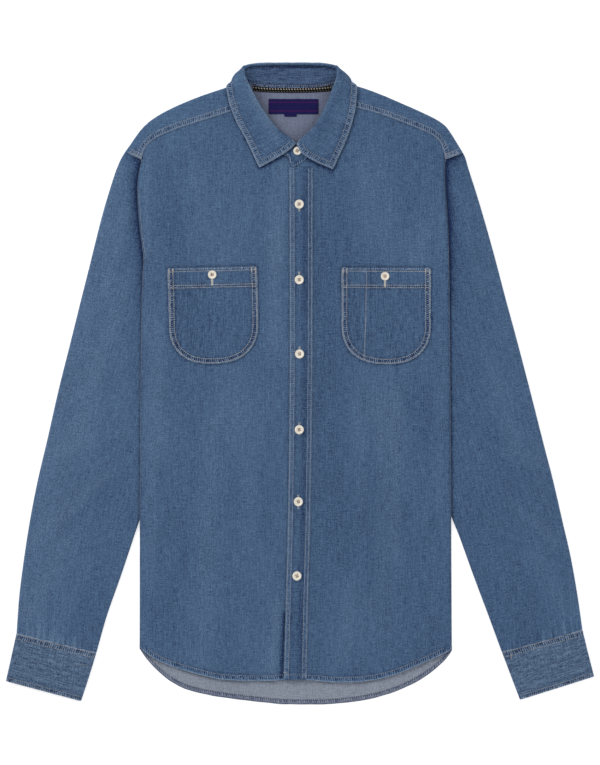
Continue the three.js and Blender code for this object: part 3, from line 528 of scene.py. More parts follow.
def collar_line(key: str, side: int, t: Array) -> Array:
    """A named line of one collar half at places t along its table, from the centre back.
    Its last row is moved by COLLAR_ENDS: out, up the shirt and up off the surface.

    Args:
        key: name of the line in COLLAR_LINES.
        side: -1 for the right half, 1 for the left half.
        t: places along the table, in rows.

    Returns:
        Points, one a place.
    """
    rows = COLLAR_LINES[key][0].rows
    last = len(rows) - 1.0
    end = np.array(COLLAR_ENDS[side].get(key, (0.0, 0.0, 0.0)))
    line = through(np.arange(last + 1.0), rows, t) + ease(last - 1.6, last, t)[:, None] * end
    line[:, 0] = collar_middle(line[:, 1]) + side * line[:, 0]
    return line


def collar_front(side: int, count: int) -> Array:
    """Front edge of one half of the leaf in plan, from its point to the collar's fold.

    Args:
        side: -1 for the right half, 1 for the left half.
        count: how many points.

    Returns:
        The points.
    """
    last = np.array([len(COLLAR_EDGE.rows) - 1.0])
    ends = np.vstack([collar_line(key, side, last)[:, :2] for key in ("edge", "low", "bend", "fold")])
    run = lengths(ends)
    return through(run, ends, np.linspace(0.0, run[-1], count))


def collar_shade(side: int, x: Array, y: Array) -> Array:
    """Shade on the cloth just beside the free edges of one collar half, falling off as a
    bell and more than twice as deep along its front edge.

    Args:
        side: -1 for the right half, 1 for the left half.
        x: plan places.
        y: plan places.

    Returns:
        The shade at each place.
    """
    outer = collar_line("edge", side, np.linspace(6.0, 11.0, 21))[:, :2]
    beside = bell(nearest(outer, x, y)[0] - 0.6, 1.8)
    return np.maximum(beside, 2.4 * bell(nearest(collar_front(side, 12), x, y)[0] - 0.9, 2.0))


def lengths(line: Array) -> Array:
    """Distance run along a line of points up to each of them, starting at 0."""
    return np.concatenate([[0.0], np.cumsum(np.linalg.norm(np.diff(line, axis=0), axis=1))])


def nearest(line: Array, x: Array, y: Array) -> tuple[Array, Array]:
    """Distance from places to a line of points, taken span by span.

    Args:
        line: plan points in millimetres.
        x: plan places.
        y: plan places.

    Returns:
        The distance, and how far along the line its nearest point lies.
    """
    gap = np.full(np.shape(x), 1e9)
    along = np.zeros(np.shape(x))
    for a, b, start in zip(line[:-1], line[1:], lengths(line)):
        step = b - a
        share = np.clip(((x - a[0]) * step[0] + (y - a[1]) * step[1]) / max(step @ step, 1e-9), 0.0, 1.0)
        away = np.hypot(x - a[0] - share * step[0], y - a[1] - share * step[1])
        along = np.where(away < gap, start + share * math.hypot(*step), along)
        gap = np.minimum(gap, away)
    return gap, along


def crease_field(table: Table, x: Array, y: Array) -> Array:
    """Sum of soft folds: a bell across each one's line, fading past its two ends.

    Args:
        table: folds with their ends, width and height.
        x: plan places.
        y: plan places.

    Returns:
        Heights in millimetres.
    """
    total = np.zeros(np.broadcast(x, y).shape)
    for x0, y0, x1, y1, width, height in table.rows:
        dx, dy = x1 - x0, y1 - y0
        length = math.hypot(dx, dy)
        run = ((x - x0) * dx + (y - y0) * dy) / length
        off = ((x - x0) * dy - (y - y0) * dx) / length
        beyond = np.maximum(0.0, np.maximum(-run, run - length))
        total += height * bell(off, width) * bell(beyond, 1.6 * width)
    return total


@dataclass(frozen=True)
class Ripple:
    """An uneven surface: a sum of cosine waves in random directions, seeded.

    Attributes:
        wavelength: middle wavelength in millimetres.
        seed: seed of the directions, lengths and phases.
        stretch: how much longer the waves run along Y than along X.
        waves: how many are summed.
    """

    wavelength: float
    seed: int
    stretch: float = 1.0
    waves: int = 16

    def at(self, x: Array, y: Array) -> Array:
        """The sum at these places, with a spread of about 1.

        Args:
            x: plan places.
            y: plan places.

        Returns:
            Heights in millimetres.
        """
        rng = np.random.default_rng(self.seed)
        angle = rng.uniform(0.0, 2.0 * math.pi, self.waves)
        turns = 2.0 * math.pi / (self.wavelength * rng.uniform(0.7, 1.5, self.waves))
        phase = rng.uniform(0.0, 2.0 * math.pi, self.waves)
        total = np.zeros(np.broadcast(x, y).shape)
        for a, k, p in zip(angle, turns, phase):
            total += np.cos(k * (x * math.cos(a) + y * math.sin(a) / self.stretch) + p)
        return total * math.sqrt(2.0 / self.waves)


@dataclass(frozen=True)
class Seam:
    """Relief, washing and painted shade beside a sewn edge: grooves under the stitch rows,
    puckers and mottled ticks between them, a worn edge, and painted shade past the rows.

    Attributes:
        rows: distances of the stitch rows from the edge.
        groove: depth pressed in by a row.
        pucker: height of the puckers.
        pitch: length of one pucker.
        raised: extra height of the turned-in layers.
        reach: how far in from the edge these layers lie.
        worn: how pale the edge is, from 0 to 1.
        mottle: how strong the ticks are, from 0 to 1.
        faded: how pale the cloth is between the edge and the last row, from 0 to 1.
        seed: seed of the puckers.
    """

    rows: tuple[float, ...]
    groove: float = 0.25
    pucker: float = 0.22
    pitch: float = 7.0
    raised: float = 0.0
    reach: float = 8.0
    worn: float = 0.9
    mottle: float = 1.0
    faded: float = 0.0
    seed: int = 1

    def relief(self, distance: Array, along: Array) -> Array:
        """Height to add: turned-in layers, minus a bell at each row, plus puckers.

        Args:
            distance: distance in from the edge.
            along: distance run along the edge.

        Returns:
            Heights in millimetres.
        """
        middle = sum(self.rows) / len(self.rows)
        wave = Ripple(self.pitch, self.seed).at(along, distance * 0.6)
        height = self.raised * (1.0 - ease(self.reach - 0.8, self.reach + 1.0, distance))
        for row in self.rows:
            height = height - self.groove * bell(distance - row, 0.9)
        return height + self.pucker * wave * bell(distance - middle, 0.6 * self.reach + 1.0)

    def zone(self, distance: Array) -> Array:
        """1 from just inside the edge to about the last row, 0 elsewhere."""
        last = self.rows[-1]
        return ease(0.9, 2.0, distance) * ease(last + 0.8, last - 0.8, distance)

    def wear_and_shade(self, distance: Array) -> Array:
        """A pale worn bell at the edge, a fainter bell of painted shade past the last row, faded between."""
        past = bell(distance - self.rows[-1] - 2.0, 1.6)
        return self.worn * bell(distance, 0.9) - 0.25 * past + self.faded * self.zone(distance)

    def rope(self, along: Array, distance: Array) -> tuple[Array, Array, Array]:
        """Strength of the ticks, and the place along and across the seam that they follow."""
        return self.mottle * self.zone(distance), along, distance


@dataclass(frozen=True)
class Lay:
    """How the body's layers lie on each other, as heights over places in the plan.

    Attributes:
        cloth: thickness of one layer.
        gap: room between two pieces.
        lift: how far the back is held up over a sleeve.
        slack: room between the back and the fronts.
        roll: radius of a rolled edge.
    """

    cloth: float = 1.2
    gap: float = 0.3
    lift: float = 3.3
    slack: float = 1.2
    roll: float = 5.0

    def edge(self, side: int, y: Array) -> Array:
        """X of the body's side edge: the right one for side -1, the left one for 1."""
        return SIDES.read("y", "left" if side < 0 else "right", y)

    def inside(self, x: Array, y: Array) -> Array:
        """Distance in from the nearer side edge, 0 outside the body."""
        return np.maximum(0.0, np.minimum(x - self.edge(-1, y), self.edge(1, y) - x))

    def under(self, x: Array, y: Array) -> Array:
        """Height of the back's underside: 0, or held up near the sides over a sleeve."""
        along = ease(190.5, 160.0, y) * ease(-211.0, -178.0, y)
        return self.lift * along * (1.0 - ease(27.0, 52.0, self.inside(x, y)))

    def room(self, x: Array, y: Array) -> Array:
        """Room between the back and a front: slack, rolled edges, folds and creases, kept
        above nothing by half of the sum of the value and the root of its square plus a bit.

        Args:
            x: plan places.
            y: plan places.

        Returns:
            Heights in millimetres.
        """
        swell = 0.9 * bell(self.inside(x, y) - 10.0, 16.0)
        quiet = ease(2.0, 30.0, self.inside(x, y))
        uneven = 0.13 * Ripple(46.0, 3, 2.6).at(x, y) + 0.09 * Ripple(19.0, 4, 2.0).at(x, y)
        free = self.slack + swell + self.soft(x, y) + quiet * uneven - 0.1
        return 0.1 + 0.5 * (free + np.sqrt(free * free + 0.2))

    def soft(self, x: Array, y: Array) -> Array:
        """Heights of the folds and creases of the fronts."""
        return crease_field(FOLDS, x, y) + 1.25 * crease_field(CREASES, x, y)

    def shade(self, x: Array, y: Array) -> Array:
        """Painted shade in the troughs and painted highlight on the ridges, from their heights."""
        return np.clip(0.10 * self.soft(x, y), -0.16, 0.12)

    def front(self, x: Array, y: Array) -> Array:
        """Height of a front's upper face."""
        return self.under(x, y) + 2.0 * self.cloth + self.gap + self.room(x, y)


LAY = Lay()


@dataclass
class Shell:
    """A closed wall of cloth: a grid that shows, a grid behind it, and a rounded rim.

    Attributes:
        outer: points of the face that shows, rows by columns by 3, in millimetres.
        inner: points of the face behind it, in the same shape.
        uv: places on the flat cloth, rows by columns by 2, in millimetres.
        wear_and_shade: paler above 0, darker below 0, or None: worn edges with painted shade and highlight.
        rope: strength of a seam's ticks, place along it and away from it, or None.
        looped: whether each row closes on itself.
        rim: how far the rim bulges, as a share of the thickness.
        turned: how many rows of shown faces, and the rim, have the third material.
    """

    outer: Array
    inner: Array
    uv: Array
    wear_and_shade: Array | None = None
    rope: tuple[Array, Array, Array] | None = None
    looped: bool = False
    rim: float = 0.45
    turned: int = 0

    def border(self) -> list[Array]:
        """Grid positions round each free edge, each as one closed run of flat indices.

        Returns:
            One run for a sheet, two for a tube.
        """
        rows, cols = self.outer.shape[:2]
        index = np.arange(rows * cols).reshape(rows, cols)
        if self.looped:
            return [index[0], index[-1][::-1]]
        return [np.concatenate([index[0], index[1:, -1], index[-1, -2::-1], index[-2:0:-1, 0]])]

    def rim_points(self, run: Array) -> Array:
        """Points half-way across the rim, pushed out from the cloth: the mean of both
        faces, plus the way from the next grid line to the edge times the bulge.

        Args:
            run: flat indices of the grid points round an edge.

        Returns:
            One point for each.
        """
        rows, cols = self.outer.shape[:2]
        i, j = run // cols, run % cols
        back_i = np.where(i == 0, 1, np.where(i == rows - 1, rows - 2, i))
        back_j = j if self.looped else np.where(j == 0, 1, np.where(j == cols - 1, cols - 2, j))
        middle = 0.5 * (self.outer + self.inner)
        out = middle[i, j] - middle[back_i, back_j]
        out /= np.maximum(np.linalg.norm(out, axis=1, keepdims=True), 1e-9)
        thick = np.linalg.norm(self.outer[i, j] - self.inner[i, j], axis=1, keepdims=True)
        return middle[i, j] + out * thick * self.rim

    def arrays(self) -> dict[str, Array]:
        """The shell as arrays.

        Returns:
            Vertices, quads, the material of each quad (0 shown, 1 behind, 2 turned), and
            uv, place on the seam, wear with its painted shade and highlight, and rope for each vertex.
        """
        rows, cols = self.outer.shape[:2]
        count = rows * cols
        index = np.arange(count).reshape(rows, cols)
        if self.looped:
            index = np.hstack([index, index[:, :1]])
        a, b = index[:-1, :-1].ravel(), index[:-1, 1:].ravel()
        c, d = index[1:, 1:].ravel(), index[1:, :-1].ravel()
        quads = [np.stack([a, b, c, d], 1), np.stack([a, d, c, b], 1) + count]
        shown = np.zeros((rows - 1, index.shape[1] - 1), int)
        shown[: self.turned] = 2
        slots = [shown.ravel(), np.ones(len(a), int)]
        verts = [self.outer.reshape(-1, 3), self.inner.reshape(-1, 3)]
        zero = np.zeros((rows, cols))
        sewn = self.rope or (zero, zero, zero)
        per_point = {
            "uv": self.uv.reshape(-1, 2),
            "seam": np.stack([part + zero for part in sewn[1:]], -1).reshape(-1, 2),
            "wear_and_shade": (zero if self.wear_and_shade is None else self.wear_and_shade + zero).ravel(),
            "rope": (sewn[0] + zero).ravel(),
        }
        order = [np.arange(count), np.arange(count)]
        start = 2 * count
        for run in self.border():
            ring = start + np.arange(len(run))
            after, ring_after = np.roll(run, -1), np.roll(ring, -1)
            quads.append(np.stack([after, run, ring, ring_after], 1))
            quads.append(np.stack([ring_after, ring, run + count, after + count], 1))
            slots += [np.full(2 * len(run), 2 * int(self.turned > 0))]
            verts.append(self.rim_points(run))
            order.append(run)
            start += len(run)
        made = {"verts": np.vstack(verts), "quads": np.vstack(quads), "slots": np.concatenate(slots)}
        each = np.concatenate(order)
        return faced_out(made | {name: value[each] for name, value in per_point.items()})


def faced_out(made: dict[str, Array]) -> dict[str, Array]:
    """The same arrays with every face pointing out: all are turned if the volume that
    they enclose, a sum of corner triple products, is negative.

    Args:
        made: arrays of a closed mesh.

    Returns:
        The arrays, changed where needed.
    """
    v, q = made["verts"], made["quads"]
    a, b, c, d = (v[q[:, k]] for k in range(4))
    volume = np.einsum("ij,ij->i", a, np.cross(b, c)) + np.einsum("ij,ij->i", a, np.cross(c, d))
    if volume.sum() < 0.0:
        made["quads"] = q[:, ::-1]
    return made


def normals(grid: Array) -> Array:
    """Unit normals of a grid of points: the cross product of its two directions.

    Args:
        grid: points, rows by columns by 3.

    Returns:
        One for each point.
    """
    normal = np.cross(np.gradient(grid, axis=1), np.gradient(grid, axis=0))
    return normal / np.maximum(np.linalg.norm(normal, axis=2, keepdims=True), 1e-9)


def raised(grid: Array, height: Array) -> Array:
    """The grid moved up by a height at each point.

    Args:
        grid: points, rows by columns by 3.
        height: in millimetres.

    Returns:
        The moved grid.
    """
    return np.concatenate([grid[..., :2], (grid[..., 2] + height)[..., None]], -1)


def lowered(grid: Array, thickness: float) -> Array:
    """The grid moved straight down."""
    return grid - np.array([0.0, 0.0, thickness])


class Piece:
    """One object of the shirt, made of shells or other arrays."""

    def __init__(self, name: str) -> None:
        """Starts an empty piece."""
        self.name = name
        self.parts: list[dict[str, Array]] = []

    def add(self, part: "Shell | dict[str, Array]") -> "Piece":
        """Adds a shell, or arrays like a shell's."""
        self.parts.append(part.arrays() if isinstance(part, Shell) else part)
        return self

    def build(self, materials: list[bpy.types.Material], slot: str, *nodes: str) -> bpy.types.Object:
        """Makes the object, rides it on the body and lets it stand for CAD nodes.

        Args:
            materials: the finish of the shown faces, then of the faces behind.
            slot: the record's material slot; not used.
            nodes: CAD nodes that it stands for.

        Returns:
            The new object.
        """
        shifts = np.cumsum([0] + [len(p["verts"]) for p in self.parts[:-1]])
        verts = np.vstack([p["verts"] for p in self.parts]) * MM
        quads = np.vstack([p["quads"] + s for p, s in zip(self.parts, shifts)])
        mesh = bpy.data.meshes.new(self.name)
        mesh.from_pydata(verts.tolist(), [], quads.tolist())
        for name, key in (("cloth", "uv"), ("seam", "seam")):
            uv = np.vstack([p[key] for p in self.parts]) * MM
            mesh.uv_layers.new(name=name).data.foreach_set("uv", uv[quads.ravel()].ravel())
        for name in ("wear_and_shade", "rope"):
            values = np.concatenate([p[name] for p in self.parts])
            mesh.attributes.new(name, "FLOAT", "POINT").data.foreach_set("value", values)
        for material in materials:
            mesh.materials.append(material)
        slots = np.concatenate([p["slots"] for p in self.parts]) * (len(materials) > 1)
        mesh.polygons.foreach_set("material_index", slots)
        mesh.polygons.foreach_set("use_smooth", np.ones(len(quads), bool))
        mesh.update()
        obj = bpy.data.objects.new(self.name, mesh)
        bpy.context.scene.collection.objects.link(obj)
        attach(obj, "root")
        if nodes:
            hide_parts(*nodes)
        log.info("%s: %d vertices, %d faces", self.name, len(verts), len(quads))
        return obj


class Field:
    """A number on a shader socket; an expression on fields adds Math nodes."""

    def __init__(self, shader: "Shader", socket: bpy.types.NodeSocket) -> None:
        """Wraps a socket of the shader's node tree."""
        self.shader = shader
        self.socket = socket

    def math(self, operation: str, *others: "Field | float") -> "Field":
        """One Math node of this field and others."""
        inputs = {0: self, **{i + 1: other for i, other in enumerate(others)}}
        return self.shader.node("ShaderNodeMath", {"operation": operation}, inputs)[0]

    def __add__(self, other: "Field | float") -> "Field":
        """This plus other."""
        return self.math("ADD", other)

    def __sub__(self, other: "Field | float") -> "Field":
        """This minus other."""
        return self.math("SUBTRACT", other)

    def __rsub__(self, other: float) -> "Field":
        """Other minus this."""
        return self.math("MULTIPLY", -1.0).math("ADD", other)

    def __mul__(self, other: "Field | float") -> "Field":
        """This times other."""
        return self.math("MULTIPLY", other)

    __radd__ = __add__
    __rmul__ = __mul__

    def sine(self) -> "Field":
        """Sine of this."""
        return self.math("SINE")

    def clamped(self) -> "Field":
        """This, held between 0 and 1."""
        return self.math("MINIMUM", 1.0).math("MAXIMUM", 0.0)


class Shader:
    """A material's node tree and the one method that adds nodes to it."""

    def __init__(self, name: str) -> None:
        """Starts an empty material with an output and a surface shader.

        Args:
            name: the material's name.
        """
        self.material = bpy.data.materials.new(name)
        self.material.use_nodes = True
        self.tree = self.material.node_tree
        self.tree.nodes.clear()
        self.surface = self.tree.nodes.new("ShaderNodeBsdfPrincipled")
        output = self.tree.nodes.new("ShaderNodeOutputMaterial")
        self.tree.links.new(self.surface.outputs[0], output.inputs[0])

    def node(self, kind: str, settings: dict, inputs: dict) -> list[Field]:
        """Adds a node.

        Args:
            kind: the node's type.
            settings: values of its properties, set first.
            inputs: socket name or number to a field, a number or a colour.

        Returns:
            Its outputs, as fields.
        """
        made = self.tree.nodes.new(kind)
        for name, value in settings.items():
            setattr(made, name, value)
        for key, value in inputs.items():
            self.join(made.inputs[key], value)
        return [Field(self, out) for out in made.outputs]

    def join(self, socket: bpy.types.NodeSocket, value: "Field | float | tuple") -> None:
        """Links a field to a socket, or sets the socket's value.

        Args:
            socket: the input to fill.
            value: a field, a number or a colour.
        """
        if isinstance(value, Field):
            self.tree.links.new(value.socket, socket)
        else:
            socket.default_value = value

    def flat_cloth(self, across: float, along: float, layer: str = "cloth") -> Field:
        """Place on the flat cloth, or along and across a seam, in metres, times a number
        each way.

        Args:
            across: factor across.
            along: factor along.
            layer: cloth or seam.

        Returns:
            The scaled place.
        """
        uv = self.node("ShaderNodeUVMap", {"uv_map": layer}, {})[0]
        scaled = {0: uv, 1: (across, along, 0.0)}
        return self.node("ShaderNodeVectorMath", {"operation": "MULTIPLY"}, scaled)[0]

    def noise(self, place: Field, detail: float = 2.0) -> Field:
        """Noise from 0 to 1 at a place, one feature a unit."""
        settings = {"noise_dimensions": "2D"}
        return self.node("ShaderNodeTexNoise", settings, {"Vector": place, "Scale": 1.0, "Detail": detail})[0]

    def mixed(self, share: "Field | float", first: "Field | tuple", second: "Field | tuple") -> Field:
        """First colour where share is 0, second where it is 1.

        Args:
            share: from 0 to 1.
            first: a colour.
            second: a colour.

        Returns:
            The mixed colour.
        """
        settings = {"data_type": "RGBA", "clamp_factor": True}
        made = self.tree.nodes.new("ShaderNodeMix")
        for name, value in settings.items():
            setattr(made, name, value)
        for index, value in ((0, share), (6, first), (7, second)):
            self.join(made.inputs[index], value)
        return Field(self, made.outputs[2])

    def bump(self, height: Field, distance: float, strength: float = 1.0) -> Field:
        """A normal from a height between 0 and 1 over a distance in metres."""
        inputs = {"Height": height, "Distance": distance, "Strength": strength}
        return self.node("ShaderNodeBump", {}, inputs)[0]

    def finish(self, **values: "Field | float | tuple") -> bpy.types.Material:
        """Sets the surface's sockets, underscores standing for spaces, and ends the material.

        Args:
            values: a field, a number or a colour for each socket.

        Returns:
            The material.
        """
        for name, value in values.items():
            self.join(self.surface.inputs[name.replace("_", " ")], value)
        return self.material


def linear(red: float, green: float, blue: float) -> tuple[float, float, float, float]:
    """A screen colour from 0 to 255 as linear light: the value over 255 to the power 2.2."""
    return (*((c / 255.0) ** 2.2 for c in (red, green, blue)), 1.0)


@dataclass(frozen=True)
class Denim:
    """Washed denim: heathered grain, warp streaks, slubs, twill and mottled seams.

    Attributes:
        name: the material's name.
        deep: colour of the dyed threads.
        pale: colour where the white threads show.
        worn: colour of washed-out edges.
        balance: share of pale in the mean colour.
        grain: contrast of the heathered grain.
        streak: contrast of the streaks along the warp.
    """

    name: str
    deep: tuple[float, float, float, float]
    pale: tuple[float, float, float, float]
    worn: tuple[float, float, float, float]
    balance: float = 0.5
    grain: float = 0.62
    streak: float = 0.42

    def material(self) -> bpy.types.Material:
        """The share of pale is the balance plus grain, streaks, flecks and clouds, each a
        noise on the flat cloth, plus the wear of the place, which holds worn paleness and
        painted shade and highlight, and the ticks of a seam: a sine along it with one turn a
        stitch, which leans and is jittered by a noise.

        Returns:
            The new material.
        """
        sh = Shader(self.name)
        grain = sh.noise(sh.flat_cloth(640.0, 460.0), 1.0)
        micro = sh.noise(sh.flat_cloth(2300.0, 1500.0), 1.0)
        warp = sh.noise(sh.flat_cloth(700.0, 90.0), 1.0)
        slub = sh.noise(sh.flat_cloth(300.0, 20.0), 1.0)
        weft = sh.noise(sh.flat_cloth(90.0, 760.0), 1.0)
        cloud = sh.noise(sh.flat_cloth(16.0, 8.0), 2.0)
        tick = sh.noise(sh.flat_cloth(430.0, 150.0, "seam"), 1.0)
        place = sh.node("ShaderNodeSeparateXYZ", {}, {0: sh.flat_cloth(1.0, 1.0)})
        twill = ((place[0] * 7400.0) + (place[1] * 5200.0)).sine()
        wear_and_shade = sh.node("ShaderNodeAttribute", {"attribute_name": "wear_and_shade"}, {})[2]
        rope = sh.node("ShaderNodeAttribute", {"attribute_name": "rope"}, {})[2]
        row = sh.node("ShaderNodeSeparateXYZ", {}, {0: sh.flat_cloth(2250.0, 420.0, "seam")})
        wave = (row[0] + row[1] + (tick - 0.5) * 5.0).sine()
        ticks = rope * (wave * 0.34 + (tick - 0.5) * 0.8 - 0.16)
        share = (
            self.balance
            + (grain - 0.5) * self.grain
            + (micro - 0.5) * 0.45
            + (warp - 0.5) * self.streak
            + (slub - 0.5) * (0.5 * self.streak)
            + (weft - 0.5) * (0.6 * self.grain)
            + (cloud - 0.5) * 0.22
            + twill * 0.03
            + ticks
            + wear_and_shade * 0.5
        ).clamped()
        colour = sh.mixed(share, self.deep, self.pale)
        patchy = (wear_and_shade * (0.6 + (grain - 0.5) * 2.4) + ticks * 0.9).clamped()
        colour = sh.mixed(patchy * 0.8, colour, self.worn)
        height = share * 0.5 + twill * 0.12 + ticks * 0.5
        sh.surface.inputs["Sheen Weight"].default_value = 0.08
        sh.surface.inputs["Sheen Roughness"].default_value = 0.6
        sh.surface.inputs["Specular IOR Level"].default_value = 0.18
        return sh.finish(Base_Color=colour, Roughness=0.93, Normal=sh.bump(height, 0.00035, 0.6))


@dataclass(frozen=True)
class Thread:
    """Sewing thread: a plain colour that varies a little from place to place."""

    name: str
    light: tuple[float, float, float, float]
    dark: tuple[float, float, float, float]

    def material(self) -> bpy.types.Material:
        """Mix of both colours by a noise along the thread.

        Returns:
            The new material.
        """
        sh = Shader(self.name)
        vary = sh.noise(sh.flat_cloth(220.0, 220.0), 1.0)
        ply = sh.noise(sh.flat_cloth(3000.0, 3000.0), 0.0)
        colour = sh.mixed(((vary - 0.5) * 2.0 + 0.5).clamped(), self.dark, self.light)
        return sh.finish(Base_Color=colour, Roughness=0.7, Normal=sh.bump(ply, 0.0001, 0.5))


@dataclass(frozen=True)
class ButtonResin:
    """Cream button resin with faint clouds and a soft gloss."""

    name: str = "cream_resin"
    light: tuple[float, float, float, float] = linear(246, 240, 228)
    dark: tuple[float, float, float, float] = linear(222, 212, 196)

    def material(self) -> bpy.types.Material:
        """Mix of both colours by a slow noise; the wear attribute, here only the pits, paints shade into the
        holes.

        Returns:
            The new material.
        """
        sh = Shader(self.name)
        cloud = sh.noise(sh.flat_cloth(260.0, 150.0), 2.0)
        hole_shade = sh.node("ShaderNodeAttribute", {"attribute_name": "wear_and_shade"}, {})[2]
        colour = sh.mixed(((cloud - 0.5) * 1.8 + 0.6).clamped(), self.dark, self.light)
        # Painted shade in the holes.
        colour = sh.mixed(hole_shade, colour, linear(128, 106, 88))
        return sh.finish(Base_Color=colour, Roughness=cloud * 0.12 + 0.26)


@dataclass(frozen=True)
class LabelWeave:
    """Navy label satin with two thin woven lines in a plain colour."""

    name: str = "label_satin"
    ground: tuple[float, float, float, float] = linear(27, 24, 72)
    line: tuple[float, float, float, float] = linear(112, 26, 84)
    height_mm: float = 18.8

    def material(self) -> bpy.types.Material:
        """Fine ribs along the label; a line lies where the place across it is within half
        a millimetre of a quarter of the label's height from the middle.

        Returns:
            The new material.
        """
        sh = Shader(self.name)
        place = sh.node("ShaderNodeSeparateXYZ", {}, {0: sh.flat_cloth(1.0, 1.0)})
        off = place[1].math("ABSOLUTE") - 0.30 * self.height_mm * MM
        near = (1.0 - off.math("ABSOLUTE") * 2200.0).clamped()
        rib = (place[1] * 14000.0).sine() * 0.5 + 0.5
        vary = sh.noise(sh.flat_cloth(600.0, 90.0), 2.0)
        colour = sh.mixed(vary * 0.3, self.ground, linear(50, 46, 100))
        colour = sh.mixed(near * 0.8, colour, self.line)
        sh.surface.inputs["Specular IOR Level"].default_value = 0.08
        return sh.finish(Base_Color=colour, Roughness=0.55, Normal=sh.bump(rib, 0.0001, 0.5))


@dataclass(frozen=True)
class TapeWeave:
    """Dark neck tape with pale dashes along its upper half."""

    name: str = "herringbone_tape"
    dark: tuple[float, float, float, float] = linear(22, 19, 20)
    pale: tuple[float, float, float, float] = linear(214, 208, 194)
    pitch: float = 3.6

    def material(self) -> bpy.types.Material:
        """Dashes stand where the sine of the place along is high, strongest above the
        middle, and lean a little with the place across.

        Returns:
            The new material.
        """
        sh = Shader(self.name)
        place = sh.node("ShaderNodeSeparateXYZ", {}, {0: sh.flat_cloth(1.0, 1.0)})
        turn = 2.0 * math.pi / (self.pitch * MM)
        slope = place[0] * turn + place[1] * (0.3 * turn)
        dash = ((slope.sine() + 0.1) * 2.2).clamped()
        upper = (1.2 - (place[1] - 0.0014).math("ABSOLUTE") * 1000.0).clamped() * 0.6
        lower = (1.0 - (place[1] + 0.0018).math("ABSOLUTE") * 1400.0).clamped() * 0.2
        colour = sh.mixed(dash * (upper + lower), self.dark, self.pale)
        sh.surface.inputs["Specular IOR Level"].default_value = 0.1
        return sh.finish(Base_Color=colour, Roughness=0.85, Normal=sh.bump(dash, 0.0002, 0.6))


class Finish(Enum):
    """The finishes of the shirt's pieces."""

    BODY = Denim("denim_face", linear(22, 42, 78), linear(98, 129, 163), linear(156, 168, 184), grain=0.7)
    # A shaded copy of the face denim, a little darker: painted shade on the left front, left sleeve and band.
    SHADE = Denim("denim_shaded", linear(20, 40, 76), linear(96, 127, 161), linear(156, 166, 182), grain=0.7)
    YOKE = Denim("denim_yoke", linear(22, 42, 78), linear(98, 129, 163), linear(150, 148, 150))
    POCKET = Denim(
        "denim_pocket", linear(18, 37, 72), linear(92, 122, 156), linear(184, 188, 196), 0.51, 0.74, 0.62
    )
    CUFF = Denim(
        "denim_cuff", linear(30, 46, 76), linear(110, 136, 166), linear(168, 172, 182), 0.49, 0.85, 0.8
    )
    # Darker than the face denim with stronger streaks: partly painted shade on the stand inside the neck.
    STAND = Denim(
        "denim_stand", linear(20, 38, 72), linear(96, 122, 158), linear(160, 166, 180), 0.51, 0.7, 0.8
    )
    REVERSE = Denim(
        "denim_reverse", linear(108, 114, 128), linear(158, 168, 184), linear(184, 188, 196), grain=0.9
    )
    # A darker copy of the reverse denim: painted shade on the inside of the yoke, in the neck.
    INSIDE = Denim("denim_inside", linear(86, 92, 116), linear(130, 138, 160), linear(160, 164, 174))
    HEM = Denim("denim_hem", linear(70, 80, 106), linear(150, 158, 174), linear(160, 166, 178))
    THREAD = Thread("pale_thread", linear(206, 203, 200), linear(164, 162, 164))
    WARM_THREAD = Thread("warm_thread", linear(178, 182, 192), linear(136, 144, 160))
    DIM_THREAD = Thread("dim_thread", linear(168, 166, 168), linear(128, 130, 138))
    PALE_THREAD = Thread("cream_thread", linear(240, 236, 228), linear(214, 208, 198))
    BUTTON_THREAD = Thread("beige_thread", linear(198, 174, 150), linear(146, 122, 102))
    RESIN = ButtonResin()
    LABEL = LabelWeave()
    TAPE = TapeWeave()


class Wardrobe:
    """Makes each finish once, when it is first asked for."""

    def __init__(self) -> None:
        """Starts with no materials made."""
        self.made: dict[Finish, bpy.types.Material] = {}

    def of(self, *finishes: Finish) -> list[bpy.types.Material]:
        """The materials of these finishes, in order.

        Args:
            finishes: the finishes asked for.

        Returns:
            One material for each.
        """
        for finish in finishes:
            if finish not in self.made:
                self.made[finish] = finish.value.material()
        return [self.made[finish] for finish in finishes]


def spaced(start: float, end: float, step: float, ends: float = 0.0) -> Array:
    """Shares from 0 to 1 for a length, about one a step, with a finer pair at each end.

    Args:
        start: first place in millimetres.
        end: last place in millimetres.
        step: spacing in millimetres.
        ends: distance of the extra lines from the two ends, or 0 for none.

    Returns:
        Rising shares from 0 to 1.
    """
    length = abs(end - start)
    shares = np.linspace(0.0, 1.0, max(2, int(round(length / step)) + 1))
    if ends:
        extra = np.array([ends, 2.5 * ends]) / length
        shares = np.unique(np.concatenate([shares, extra, 1.0 - extra]))
    return shares


